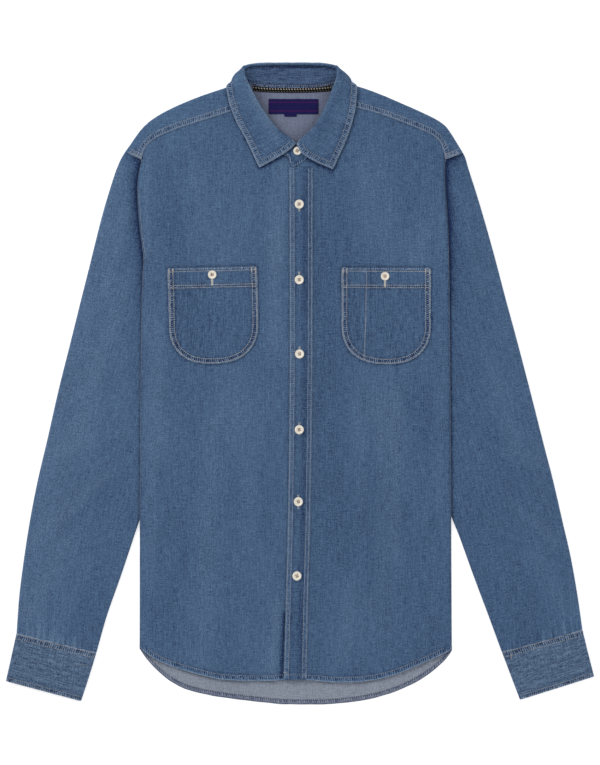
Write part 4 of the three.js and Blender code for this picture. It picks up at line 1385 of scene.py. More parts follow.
@dataclass
class Body:
    """Back, fronts and buttonhole band.

    Attributes:
        step: grid spacing of the fronts in millimetres.
        hem: the sewn relief of the hems.
        armhole: the sewn relief beside the armholes.
        band: the sewn relief of the buttonhole band, from each edge.
        band_cloth: thickness of the band.
    """

    step: float = 2.8
    hem: Seam = Seam((6.0,), raised=0.5, reach=6.6, worn=0.8, faded=0.12, seed=11)
    armhole: Seam = Seam((2.6,), raised=0.3, reach=8.0, worn=0.0, mottle=0.0, seed=12)
    band: Seam = Seam((1.3, 5.4), raised=0.25, reach=8.4, worn=0.3, mottle=0.5, faded=0.06, seed=13)
    band_cloth: float = 1.4

    def top(self, side: int, x: Array) -> Array:
        """Upper edge of a front: the lower of its yoke seam and its neckline.

        Args:
            side: -1 for the right one, 1 for the left one.
            x: plan places.

        Returns:
            Its Y there.
        """
        yoke = YOKE_RIGHT if side < 0 else YOKE_LEFT
        order = np.argsort(yoke["seam_x"])
        seam = through(yoke["seam_x"][order], yoke["seam_y"][order], x) - 0.4
        neck = (NECKLINE_RIGHT if side < 0 else NECKLINE_LEFT).read("x", "y", x) - 0.3
        return np.minimum(seam, neck)

    def height(self, side: int, x: Array, y: Array) -> Array:
        """A front's upper face: the lay, sewn relief, and the left front's step over the right.

        Args:
            side: -1 for the right one, 1 for the left one.
            x: plan places.
            y: plan places.

        Returns:
            Heights in millimetres.
        """
        over = (LAY.cloth + 2 * LAY.gap) * (1.0 - ease(1.0, 10.0, x - BAND.read("y", "right", y)))
        hem_distance = y - FRONT_HEM.read("x", "y", x)
        sewn = self.hem.relief(hem_distance, x)
        arm = LAY.inside(x, y)
        sewn = sewn + self.armhole.relief(arm, y) * ease(UNDERARM_Y - 4, UNDERARM_Y + 8, y)
        return LAY.front(x, y) + sewn + (over if side > 0 else 0.0)

    def front_grid(self, side: int) -> Shell:
        """A front as a shell: rows rise from the hem to the yoke seam and neckline, columns
        run round the rolled side edge and on to the centre edge under the band.

        Args:
            side: -1 for the right one, 1 for the left one.

        Returns:
            The front.
        """
        roll = np.radians(np.linspace(0.0, 90.0, 8))
        corner = YOKE_RIGHT["seam_x"][0] if side < 0 else YOKE_LEFT["seam_x"][0]
        chest = spaced(side * 200, corner, self.step)[1:]
        centre = spaced(corner, -14.0 if side < 0 else 27.0, self.step)[1:]
        lap = spaced(0.0, 40.0 if side > 0 else 29.0, self.step)[1:]
        near_hem = np.array([0.0, 0.4, 1.2, 2.4, 3.6, 4.8, 6.0, 6.9, 7.6]) / 690.0
        rows = np.concatenate([near_hem, 0.0147 + 0.9853 * spaced(0.0, 680.0, self.step, 0.8)])[:, None]
        cols = len(roll) + len(chest) + len(centre) + len(lap)
        y = np.broadcast_to(rows * 640.0 - 345.0, (len(rows), cols)).copy()
        for _ in range(4):
            edge = LAY.edge(side, y)
            band_left, band_right = BAND.read("y", "left", y) + 1.5, BAND.read("y", "right", y)
            near, far = (band_left, band_right - 1.5) if side < 0 else (band_right + 10, band_left)
            x_roll = edge - side * LAY.roll
            x = edge.copy()
            a, b, c = len(roll), len(roll) + len(chest), len(roll) + len(chest) + len(centre)
            x[:, :a] = edge[:, :a] - side * LAY.roll * (1 - np.cos(roll))
            x[:, a:b] = x_roll[:, a:b] + chest * (corner - x_roll[:, a:b])
            x[:, b:c] = corner + centre * (near[:, b:c] - corner)
            x[:, c:] = near[:, c:] + lap * (far[:, c:] - near[:, c:])
            low = FRONT_HEM.read("x", "y", x)
            y = low + rows * (self.top(side, x) - low)
        top = self.height(side, np.where(np.arange(cols) < a, x_roll, x), y)
        base = LAY.under(edge, y) + LAY.cloth + LAY.gap
        turn = np.ones(cols)
        turn[:a] = np.sin(roll)
        outer = np.stack([x, y, base + (top - base) * turn], -1)
        inner = lowered(outer, LAY.cloth)
        back = LAY.cloth + (LAY.roll - LAY.cloth) * (1 - np.cos(roll))
        inner[:, :a, 0] = edge[:, :a] - side * back
        inner[:, :a, 2] = (base + (top - base - LAY.cloth) * turn)[:, :a]
        # Colour marks: the hem's pale edge is worn cloth; the rest is painted light: shade and highlight of
        # the folds, a shadow beside the band's foot, shade along the side edges, and shadow under the yoke
        # seam and neckline, under the collar and round the pockets.
        hem_gap = y - FRONT_HEM.read("x", "y", x)
        band_shadow = crease_field(BAND_SHADOW, x, y)
        wear_and_shade = self.hem.wear_and_shade(hem_gap) + LAY.shade(x, y) + band_shadow
        wear_and_shade = wear_and_shade - 0.15 * bell(LAY.inside(x, y), 3.0) - 0.3 * bell(self.top(side, x) - y, 1.8)
        wear_and_shade = wear_and_shade - 0.6 * collar_shade(side, x, y)
        pocket = Pocket(side, *POCKETS[side], self).outline(0.0, 120)
        wear_and_shade = wear_and_shade - 0.4 * bell(nearest(np.vstack([pocket, pocket[:1]]), x, y)[0] - 0.9, 1.8)
        return Shell(outer, inner, np.stack([x, y], -1), wear_and_shade, self.hem.rope(x, hem_gap))

    def back_grid(self) -> Shell:
        """The back as a shell: flat on the surface, held up at the sides over the sleeves.

        Returns:
            The back.
        """
        cols = spaced(-208.0, 197.0, 3.6, 1.0)
        near_hem = np.array([0.0, 0.4, 1.2, 2.4, 3.6, 4.8, 6.0, 6.6, 7.1]) / 690.0
        rows = np.concatenate([near_hem, 0.0125 + 0.9875 * spaced(0.0, 680.0, 4.5)])[:, None]
        y = np.broadcast_to(rows * 650.0 - 360.0, (len(rows), len(cols))).copy()
        for _ in range(4):
            left, right = LAY.edge(-1, y), LAY.edge(1, y)
            x = left + cols * (right - left)
            low = BACK_HEM.read("x", "y", x)
            y = low + rows * (YOKE_SEAM_Y - low)
        under = np.stack([x, y, LAY.under(x, y)], -1)
        sewn = self.hem.relief(y - low, x)
        sag = 0.15 * Ripple(24.0, 21).at(x, y) * ease(60.0, 0.0, y - low)
        upper = raised(under, LAY.cloth + np.maximum(-0.3, sewn + sag))
        # Darker lines at the hem's edge and along the top of its turn, and a painted shadow under the front
        # hem.
        shadow = bell(y - FRONT_HEM.read("x", "y", x) + 1.0, 2.4)
        wear_and_shade = -0.7 * bell(y - low, 0.8) - 0.8 * bell(y - low - 5.3, 0.7) - 0.9 * shadow
        return Shell(upper, under, np.stack([x, y], -1), wear_and_shade, self.hem.rope(x, y - low), turned=6)

    def band_height(self, x: Array, y: Array) -> Array:
        """Underside of the band: the left front's face plus the gap."""
        return self.height(1, x, y) + LAY.gap

    def band_grid(self) -> Shell:
        """The buttonhole band: a strip on the left front, its two edges sewn in two rows.

        Returns:
            The band.
        """
        cols = spaced(0.0, 31.0, 1.0, 0.35)
        rows = spaced(BAND_FOOT_Y, BAND_TOP_Y, 2.0, 0.5)[:, None]
        y = np.broadcast_to(BAND_FOOT_Y + rows * (BAND_TOP_Y - BAND_FOOT_Y), (len(rows), len(cols)))
        left, right = band_sides(y)
        x = left + cols * (right - left)
        side = np.minimum(x - left, right - x)
        along = y + 37.0 * (x > 0.5 * (left + right))
        under = np.stack([x, y, self.band_height(x, y)], -1)
        relief = self.band.relief(side, along) + 0.16 * Ripple(30.0, 23, 2.0).at(x, y)
        soft = 0.35 * bell(side, 1.0)
        trough = bell(x - left - 0.64 * (right - left), 3.4)
        over = raised(under, self.band_cloth + relief - soft - 0.3 * trough)
        # Painted shade darkens the trough right of the buttons; the whole band is a little darker and its
        # left strip paler from fading.
        wear_and_shade = self.band.wear_and_shade(side) - 0.32 * trough - 0.06
        wear_and_shade = wear_and_shade + 0.14 * self.band.zone(x - left)
        return Shell(over, under, np.stack([x, y], -1), wear_and_shade, self.band.rope(y, side))

    def build(self, wardrobe: Wardrobe) -> dict[str, bpy.types.Object]:
        """Args:
            wardrobe: the finishes.

        Returns:
            The objects by CAD node.
        """
        face, shade, reverse, hem = wardrobe.of(Finish.BODY, Finish.SHADE, Finish.REVERSE, Finish.HEM)
        made = {
            "back": Piece("back_panel").add(self.back_grid()).build([reverse, face, hem], "denim", "back"),
            "front_right": Piece("right_front").add(self.front_grid(-1)).build(
                [face, reverse], "denim", "front_right"
            ),
            "front_left": Piece("left_front").add(self.front_grid(1)).build(
                [shade, reverse], "denim", "front_left"
            ),
            "placket": Piece("buttonhole_band").add(self.band_grid()).build(
                [shade, face], "denim", "placket"
            ),
        }
        return made


@dataclass
class Yoke:
    """The yoke: a flat middle inside the neck, and a wrap over each shoulder.

    Attributes:
        rise: height over the fronts, for the seam allowances beneath.
        roll: radius of the shoulder fold.
        seam: sewn relief along the front seam.
        armhole: sewn relief along the armhole seam.
    """

    rise: float = 0.5
    roll: float = 5.0
    seam: Seam = Seam((1.2, 6.6), raised=0.35, reach=7.6, worn=0.5, mottle=1.1, faded=0.24, seed=31)
    armhole: Seam = Seam((1.4, 6.4), raised=0.35, reach=8.0, worn=0.8, mottle=1.1, faded=0.7, seed=32)

    def wrap(self, table: Table) -> Shell:
        """One shoulder: each row is a path from the back seam under the shoulder, round the
        fold as a half turn, and on to the front seam.

        Args:
            table: back seam, fold and front seam of one shoulder.

        Returns:
            The wrap.
        """
        count = 80
        t = np.linspace(0.0, len(table.rows) - 1.0, count)
        index = np.arange(len(table.rows), dtype=float)
        fold = through(index, table.columns("fold_x", "fold_y"), t)
        seam = through(index, table.columns("seam_x", "seam_y"), t)
        back_x = through(index, table["back_x"], t)
        back = np.stack([back_x, np.full(count, YOKE_SEAM_Y + 0.3)], -1)
        to_back, to_seam = back - fold, seam - fold
        long_back = np.linalg.norm(to_back, axis=1, keepdims=True)
        long_seam = np.linalg.norm(to_seam, axis=1, keepdims=True)
        to_back, to_seam = to_back / long_back, to_seam / long_seam
        turn = np.radians(np.linspace(-90.0, 90.0, 15))
        under = np.linspace(1.0, 0.0, 12)[:-1]
        upper = spaced(0.0, 30.0, 1.5, 0.4)[1:]
        roll = np.minimum(self.roll, 0.45 * long_seam)
        reach_seam = long_seam - roll
        flat = [back * f + (fold + to_back * roll) * (1 - f) for f in under]
        for angle in turn:
            toward = to_back if angle < 0 else to_seam
            flat.append(fold + toward * roll * (1 - math.cos(angle)))
        for f in upper:
            flat.append(fold + to_seam * (roll + f * reach_seam))
        plan = np.stack(flat, 1)
        x, y = plan[..., 0], plan[..., 1]
        first = len(under) + len(turn)
        lap = fold + to_seam * roll
        lap_z = LAY.front(lap[:, 0], lap[:, 1]) + self.rise
        z = np.zeros(x.shape)
        z_in = np.full(x.shape, LAY.cloth)
        z[:, len(under):first] = 0.5 * lap_z[:, None] * (1 + np.sin(turn))
        z_in[:, len(under):first] = 0.5 * lap_z[:, None] + (0.5 * lap_z[:, None] - LAY.cloth) * np.sin(turn)
        from_seam = (1.0 - upper) * reach_seam
        arc = lengths(seam)
        end = np.stack([fold[-1], seam[-1]])
        from_arm = nearest(end, x[:, first:], y[:, first:])[0]
        relief = self.seam.relief(from_seam, arc[:, None]) + self.armhole.relief(from_arm, -from_seam)
        relief = relief + 0.10 * Ripple(18.0, 33).at(x[:, first:], y[:, first:])
        fade = ease(0.0, 6.0, reach_seam - from_seam)
        top = LAY.front(x[:, first:], y[:, first:]) + self.rise + relief * fade
        z[:, first:] = np.maximum(top, 2.4)
        z_in[:, first:] = z[:, first:] - LAY.cloth
        inner_plan = plan.copy()
        for k, angle in enumerate(turn):
            toward = to_back if angle < 0 else to_seam
            back_by = LAY.cloth + (roll - LAY.cloth) * (1 - math.cos(angle))
            inner_plan[:, len(under) + k] = fold + toward * back_by
        outer = np.concatenate([plan, z[..., None]], -1)
        inner = np.concatenate([inner_plan, z_in[..., None]], -1)
        marks = np.zeros((4, *x.shape))
        at_arm = self.armhole.zone(from_arm) > 0.3
        marks[0, :, first:] = np.maximum(self.seam.wear_and_shade(from_seam), self.armhole.wear_and_shade(from_arm))
        half = -1 if table is YOKE_RIGHT else 1
        marks[0, :, first:] -= 0.5 * collar_shade(half, x[:, first:], y[:, first:])
        marks[1, :, first:] = 1.1 * np.maximum(self.seam.zone(from_seam), self.armhole.zone(from_arm))
        marks[2, :, first:] = np.where(at_arm, from_seam, arc[:, None])
        marks[3, :, first:] = np.where(at_arm, from_arm, from_seam)
        return Shell(outer, inner, np.stack([y, x], -1), marks[0], tuple(marks[1:]))

    def middle(self) -> Shell:
        """The inside of the back yoke: a flat slab from the back seam to the neck seam.

        Returns:
            The slab.
        """
        cols = spaced(-77.0, 55.0, 2.6, 0.6)
        rows = spaced(291.0, 386.0, 2.6, 0.6)[:, None]
        low = YOKE_SEAM_Y + 0.3
        left = -72.4 - 5.0 * rows
        right = 53.6 + 2.0 * rows
        x = left + cols * (right - left)
        neck = BACK_NECK.read("x", "y", x) + 2.2 + 1.4 * ease(40.0, 56.0, np.abs(x + 11.2))
        y = low + rows * (neck - low)
        under = np.stack([x, y, 0.0 * x], -1)
        soft = 0.10 * Ripple(22.0, 35).at(x, y) * ease(0.0, 8.0, BACK_NECK.read("x", "y", x) - y)
        upper = raised(under, LAY.cloth + soft)
        return Shell(upper, under, np.stack([x, y], -1))

    def build(self, wardrobe: Wardrobe) -> dict[str, bpy.types.Object]:
        """Builds the yoke as one object with the inside of the neck in reverse denim.

        Args:
            wardrobe: the finishes.

        Returns:
            The objects by CAD node.
        """
        face, reverse = wardrobe.of(Finish.YOKE, Finish.INSIDE)
        piece = Piece("yoke_panel").add(self.wrap(YOKE_RIGHT)).add(self.wrap(YOKE_LEFT))
        middle = self.middle().arrays()
        middle["slots"] = 1 - middle["slots"]
        obj = piece.add(middle).build([face, reverse], "denim", "yoke")
        return {"yoke": obj}


@dataclass
class Sleeve:
    """A sleeve or cuff: a flattened tube whose sections run from its outer to its inner side.

    Attributes:
        side: -1 for the right one, 1 for the left one.
        path: both sides of the tube, from top to bottom.
        cloth: wall thickness.
        loft: height of the tube at its middle.
        cuff: whether this is a cuff.
        seed: seed of its unevenness.
        fold: radius of its two folded sides.
        pressed: height it is pressed down to at its seam.
    """

    side: int
    path: Table
    cloth: float = 1.2
    loft: float = 6.0
    cuff: bool = False
    seed: int = 41
    fold: float = 4.5
    pressed: float = 2.9

    def seam_line(self) -> Array:
        """Plan points of the line where the sleeve meets the body, up to the shoulder.

        Returns:
            The points, from below the underarm upwards.
        """
        y = np.linspace(-212.0, YOKE_SEAM_Y, 40)
        body = np.stack([LAY.edge(self.side, y), y], -1)
        yoke = YOKE_RIGHT if self.side < 0 else YOKE_LEFT
        return np.vstack([body, yoke.columns("fold_x", "fold_y")[-1:]])

    def beside(self, x: Array, y: Array) -> Array:
        """Distance to the seam line, 0 where the sleeve lies beneath the body."""
        gap = nearest(self.seam_line(), x, y)[0]
        return np.where(LAY.inside(x, y) > 0.0, 0.0, gap)

    def height(self, x: Array, y: Array, share: Array) -> Array:
        """Upper face: a low crown with creases, sinking to the seam, flat beneath the body.

        Args:
            x: plan places.
            y: plan places.
            share: how far across the section, from 0 to 1.

        Returns:
            Heights in millimetres.
        """
        arch = np.sin(math.pi * np.clip(share, 0.0, 1.0))
        if self.cuff:
            return self.loft * (0.8 + 0.2 * arch) + 0.12 * Ripple(26.0, self.seed).at(x, y) * arch
        free = self.loft * (0.62 + 0.38 * arch)
        soft = 0.5 * crease_field(SLEEVE_CREASES, x, y) + 0.22 * Ripple(38.0, self.seed, 2.0).at(x, y)
        free = free + soft * np.sqrt(arch)
        rising = 1.0 - np.exp(-self.beside(x, y) / 11.0)
        held = ease(-225.0, -185.0, y)
        return free - held * (1.0 - rising) * np.maximum(0.0, free - self.pressed)

    def sides(self, t: Array) -> tuple[Array, Array]:
        """Plan points of both sides at table positions t. Above the underarm the inner side
        follows the body's edge; below it, it passes beneath the body.

        Args:
            t: places along the table, in rows.

        Returns:
            Points of the outer and of the inner side.
        """
        index = np.arange(len(self.path.rows), dtype=float)
        outer = through(index, self.path.columns("outer_x", "outer_y"), t)
        inner = through(index, self.path.columns("inner_x", "inner_y"), t)
        if not self.cuff:
            edge = LAY.edge(self.side, inner[:, 1]) + self.side * 0.4
            tuck = ease(UNDERARM_Y + 2.0, 122.0, inner[:, 1])
            inner[:, 0] = edge + tuck * (inner[:, 0] - edge)
        return outer, inner

    def gathers(self, distance_end: Array, across: Array, share: Array) -> Array:
        """Gathers of a sleeve above its cuff.

        Args:
            distance_end: distance up from the lower end.
            across: distance across.
            share: how far across, from 0 to 1.

        Returns:
            Heights to add.
        """
        near = ease(46.0, 2.0, distance_end)
        pleats = Ripple(15.0, self.seed + 5, 1.0).at(across, 0.12 * distance_end)
        return 0.75 * near * pleats * np.sin(math.pi * np.clip(share, 0, 1)) ** 0.7

    def grid(self) -> Shell:
        """The tube as a looped shell: flat underside, a fold, the crowned top, a fold.

        Returns:
            The tube.
        """
        last = len(self.path.rows) - 1.0
        coarse_o, coarse_i = self.sides(np.linspace(0.0, last, 200))
        middle = 0.5 * (coarse_o + coarse_i)
        run = lengths(middle)
        shares = spaced(0.0, run[-1], 1.6 if self.cuff else 2.9, 0.5)
        t = np.interp(shares * run[-1], run, np.linspace(0.0, last, 200))
        outer_side, inner_side = self.sides(t)
        across = inner_side - outer_side
        width = np.linalg.norm(across, axis=1)[:, None]
        fold = np.minimum(self.fold / width, 0.3)
        arcs = np.radians(np.linspace(-90.0, 90.0, 9))
        bottom = np.linspace(0.0, 1.0, 14)[None, 1:-1]
        top = np.linspace(0.0, 1.0, 50 if not self.cuff else 64)[None, 1:-1]
        inside = fold + (1 - 2 * fold) * bottom
        over = fold + (1 - 2 * fold) * top

        def places(share: Array) -> tuple[Array, Array]:
            """Plan places at shares of the way across each section."""
            return (outer_side[:, :1] + across[:, :1] * share, outer_side[:, 1:] + across[:, 1:] * share)

        end = (run[-1] - shares * run[-1])[:, None]
        x, y = places(over)
        z_top = self.height(x, y, over)
        if not self.cuff:
            z_top = z_top + self.gathers(end, over * width, over)
        out_share, in_share = [inside], [inside]
        out_z = [np.zeros((len(t), inside.shape[1]))]
        in_z = [np.full((len(t), inside.shape[1]), self.cloth)]
        for far, angles in ((True, arcs), (False, arcs[::-1])):
            edge_share = 1 - fold if far else fold
            tall = self.height(*places(edge_share), edge_share)
            out = fold * (1 - np.cos(angles))
            back_by = (self.cloth + (self.fold - self.cloth) * (1 - np.cos(angles))) / width
            out_share.append(1 - out if far else out)
            in_share.append(1 - back_by if far else back_by)
            out_z.append(0.5 * tall * (1 + np.sin(angles)))
            in_z.append(0.5 * tall + (0.5 * tall - self.cloth) * np.sin(angles))
            if far:
                out_share.append(over[:, ::-1])
                in_share.append(over[:, ::-1])
                out_z.append(z_top[:, ::-1])
                in_z.append(z_top[:, ::-1] - self.cloth)
        share_out, share_in = np.hstack(out_share), np.hstack(in_share)
        ox, oy = places(share_out)
        ix, iy = places(share_in)
        outer = np.stack([ox, oy, np.hstack(out_z)], -1)
        inner = np.stack([ix, iy, np.hstack(in_z)], -1)
        along = np.broadcast_to((shares * run[-1])[:, None], ox.shape)
        from_end = run[-1] - along
        flat_across = share_out * width + 13.0 * self.side
        if self.cuff:
            near = np.minimum(along, from_end)
            wear_and_shade = 0.5 * bell(from_end, 1.2) + 0.7 * bell(along, 1.2) - 0.2 * bell(from_end - 8.0, 2.0)
            tacks = 1.1 * ease(8.0, 6.6, along) * ease(0.6, 1.8, along) + 0.9 * ease(5.4, 4.0, from_end)
            wear_and_shade = wear_and_shade + 0.25 * tacks * ease(4.0, 7.0, near)
            groove = bell(along - 1.4, 0.8) + bell(along - 7.0, 0.8) + bell(from_end - 4.2, 0.8)
            twist = 0.18 * Ripple(7.0, self.seed + 2).at(flat_across, 0.5 * along) * bell(near - 4.0, 4.5)
            first = inside.shape[1] + len(arcs)
            span = slice(first, first + over.shape[1])
            outer[:, span, 2] += (twist - 0.22 * groove)[:, span]
            rope = (tacks, flat_across, near)
            return Shell(outer, inner, np.stack([along, flat_across], -1), wear_and_shade, rope, looped=True)
        beside = self.beside(ox, oy)
        # Colour marks, all painted light: shade and highlight of the creases, the left sleeve a little
        # darker, lighter toward the outer side, shade in the armhole valley, a shadow along the body's edge,
        # and shade and highlight of fine puckers above the cuff.
        wear_and_shade = 0.07 * crease_field(SLEEVE_CREASES, ox, oy) - 0.03 * self.side + 0.12 * (0.5 - share_out)
        armhole_shade = bell(beside, 8.5 + 0.5 * self.side) * ease(60.0, 210.0, oy) * ease(300.0, 288.0, oy)
        wear_and_shade = wear_and_shade - 0.85 * armhole_shade
        wear_and_shade = wear_and_shade - (0.5 + 0.15 * self.side) * bell(beside, 2.8) * ease(-250.0, -215.0, oy)
        pleats = Ripple(5.5, self.seed + 7).at(flat_across, 0.1 * from_end)
        wear_and_shade = wear_and_shade + (0.13 * pleats - 0.06) * ease(26.0, 2.0, from_end)
        return Shell(outer, inner, np.stack([flat_across, -along], -1), wear_and_shade, looped=True)


@dataclass
class Arms:
    """Both sleeves and both cuffs.

    Attributes:
        sleeve_flat: flat size of a sleeve, in metres; not used.
        cuff_flat: flat size of a cuff, in metres; not used.
    """

    sleeve_flat: tuple[float, float] = (0.30, 0.66)
    cuff_flat: tuple[float, float] = (0.215, 0.065)

    def build(self, wardrobe: Wardrobe) -> dict[str, bpy.types.Object]:
        """Args:
            wardrobe: the finishes.

        Returns:
            The objects by CAD node.
        """
        face, shade, reverse, cuffed = wardrobe.of(
            Finish.BODY, Finish.SHADE, Finish.REVERSE, Finish.CUFF
        )
        made = {}
        for word, side, path, cuff_path, finish in (
            ("right", -1, SLEEVE_RIGHT, CUFF_RIGHT, face),
            ("left", 1, SLEEVE_LEFT, CUFF_LEFT, shade),
        ):
            sleeve = Sleeve(side, path, seed=41 + side)
            cuff = Sleeve(side, cuff_path, cloth=1.7, loft=5.6, cuff=True, seed=51 + side)
            made[f"sleeve_{word}"] = Piece(f"{word}_sleeve").add(sleeve.grid()).build(
                [finish, reverse], "denim", f"sleeve_{word}"
            )
            made[f"cuff_{word}"] = Piece(f"{word}_cuff").add(cuff.grid()).build(
                [cuffed, face], "denim", f"cuff_{word}"
            )
        return made


@dataclass
class Pocket:
    """A chest pocket: straight mouth with a turned hem, round foot, two sewn rows round it.

    Attributes:
        side: -1 for the right front, 1 for the left.
        x: middle of the mouth.
        top: height of the mouth in the plan.
        tilt: rise of the mouth across it.
        lean: sideways drift of the foot per millimetre of depth.
        body: the front that it lies on.
        width: its width.
        depth: its depth from mouth to foot.
        corner: depth of the rounded part of the foot.
        cloth: its thickness.
        clearance: room between it and the front.
        hem: depth of the turned mouth.
        edge: relief and washing of its sewn edge.
        power: power of the superellipse round the foot.
    """

    side: int
    x: float
    top: float
    tilt: float
    lean: float
    body: Body
    width: float = 115.0
    depth: float = 125.0
    corner: float = 52.0
    cloth: float = 1.2
    clearance: float = 0.4
    hem: float = 25.6
    edge: Seam = Seam((1.6, 6.3), groove=0.28, raised=0.35, reach=8.4, worn=0.65, mottle=1.35, seed=61)
    power: float = 2.4

    def hem_rows(self) -> tuple[float, ...]:
        """Depths of the stitch rows along the mouth."""
        return (4.4, self.hem - 3.1, self.hem)

    def half(self, depth: Array) -> Array:
        """Half of the pocket's width at a depth: full, then a superellipse round the foot."""
        q = np.clip((depth - (self.depth - self.corner)) / self.corner, 0.0, 1.0)
        return 0.5 * self.width * (1.0 - q**self.power) ** (1.0 / self.power)

    def plan(self, across: Array, depth: Array) -> tuple[Array, Array]:
        """Plan places at a signed distance from the pocket's middle line and a depth."""
        x = self.x + across + self.lean * (depth - depth**2 / 180.0)
        return x, self.top + self.tilt * across - depth

    def outline(self, inset: float, count: int = 400) -> Array:
        """Plan points down one side, round the foot and up the other, inside by inset.

        Args:
            inset: distance in from the edge.
            count: points a stretch.

        Returns:
            The points.
        """
        straight = self.depth - self.corner
        turn = np.linspace(0.0, math.pi / 2, count)
        round_foot = straight + self.corner * np.sin(turn) ** (2 / self.power)
        depth = np.concatenate([np.linspace(0.0, straight, count), round_foot])
        across = 0.5 * self.width * np.concatenate([np.ones(count), np.cos(turn) ** (2 / self.power)])
        half = np.stack([-across, depth], -1)
        full = np.vstack([half, (half * [-1.0, 1.0])[::-1][1:]])
        return np.stack(self.plan(*offset_line(full, -inset).T), -1)

    def grid(self) -> Shell:
        """The pocket as a shell on its front: rows go down from the mouth to the foot.

        Returns:
            The pocket.
        """
        straight = self.depth - self.corner
        lines = np.concatenate([
            [0.0, 0.4, 1.0],
            np.linspace(2.2, straight, 45),
            straight + self.corner * np.sin(np.linspace(0.0, math.pi / 2, 44)[1:] * 0.985),
        ])
        depth = lines[:, None]
        shares = np.unique(np.concatenate([np.linspace(-1.0, 1.0, 66), [-0.99, -0.975, 0.975, 0.99]]))
        across = self.half(depth) * shares
        x, y = self.plan(across, np.broadcast_to(depth, across.shape))
        floor = self.body.height(self.side, x, y) + self.clearance
        distance, along = nearest(self.outline(0.0, 30), x, y)
        fabric = self.cloth + 0.7 * (1.0 - ease(self.hem - 0.2, self.hem + 1.4, depth))
        relief = self.edge.relief(distance, along) * ease(0.0, 3.0, depth)
        for row in self.hem_rows():
            relief = relief - 0.25 * bell(depth - row, 0.9)
        ticks = Ripple(6.0, 64 + self.side).at(x, 0.6 * depth)
        relief = relief + 0.16 * ticks * (bell(depth - 2.2, 3.0) + bell(depth - self.hem + 2.0, 3.4))
        slot = bell(across + 0.18 * self.width - 0.01 * depth, 0.9) * (self.side > 0)
        puff = 0.7 * ease(8.0, 34.0, distance) + 0.18 * Ripple(24.0, 63 + self.side, 1.6).at(x, y)
        rounded = 0.3 * bell(distance, 0.7)
        over = floor + fabric + relief + puff - rounded - 0.2 * slot
        outer = np.stack([x, y, over], -1)
        inner = np.stack([x, y, floor], -1)
        # The mouth is worn pale just below its edge and darker at its very top; painted shade darkens the
        # step below the hem's turn and the pen slot.
        mouth = 0.5 * bell(depth - 1.2, 1.1) - 0.2 * bell(depth, 0.6)
        mouth = mouth - 0.15 * bell(depth - self.hem - 2.0, 1.4)
        wear_and_shade = self.edge.wear_and_shade(distance) * ease(0.0, 4.0, depth) + mouth - 0.25 * slot
        dim = bell(across + 0.37 * self.width, 10.0) * ease(24.0, 32.0, depth) * ease(120.0, 80.0, depth)
        wear_and_shade = wear_and_shade - (0.10 + 0.08 * self.side) * dim
        level = 0.8 * bell(depth - self.hem + 1.8, 2.6) + 0.6 * bell(depth - 2.0, 2.2)
        flat = level > self.edge.zone(distance)
        rope = (
            np.maximum(self.edge.mottle * self.edge.zone(distance), level),
            np.where(flat, x, along),
            np.where(flat, depth, distance),
        )
        return Shell(outer, inner, np.stack([x, y], -1), wear_and_shade, rope)

    def build(self, wardrobe: Wardrobe, word: str) -> bpy.types.Object:
        """Args:
            wardrobe: the finishes.
            word: right or left.

        Returns:
            The object.
        """
        shown, behind = wardrobe.of(Finish.POCKET, Finish.REVERSE)
        piece = Piece(f"{word}_pocket").add(self.grid())
        obj = piece.build([shown, behind], "denim", f"pocket_{word}")
        return obj


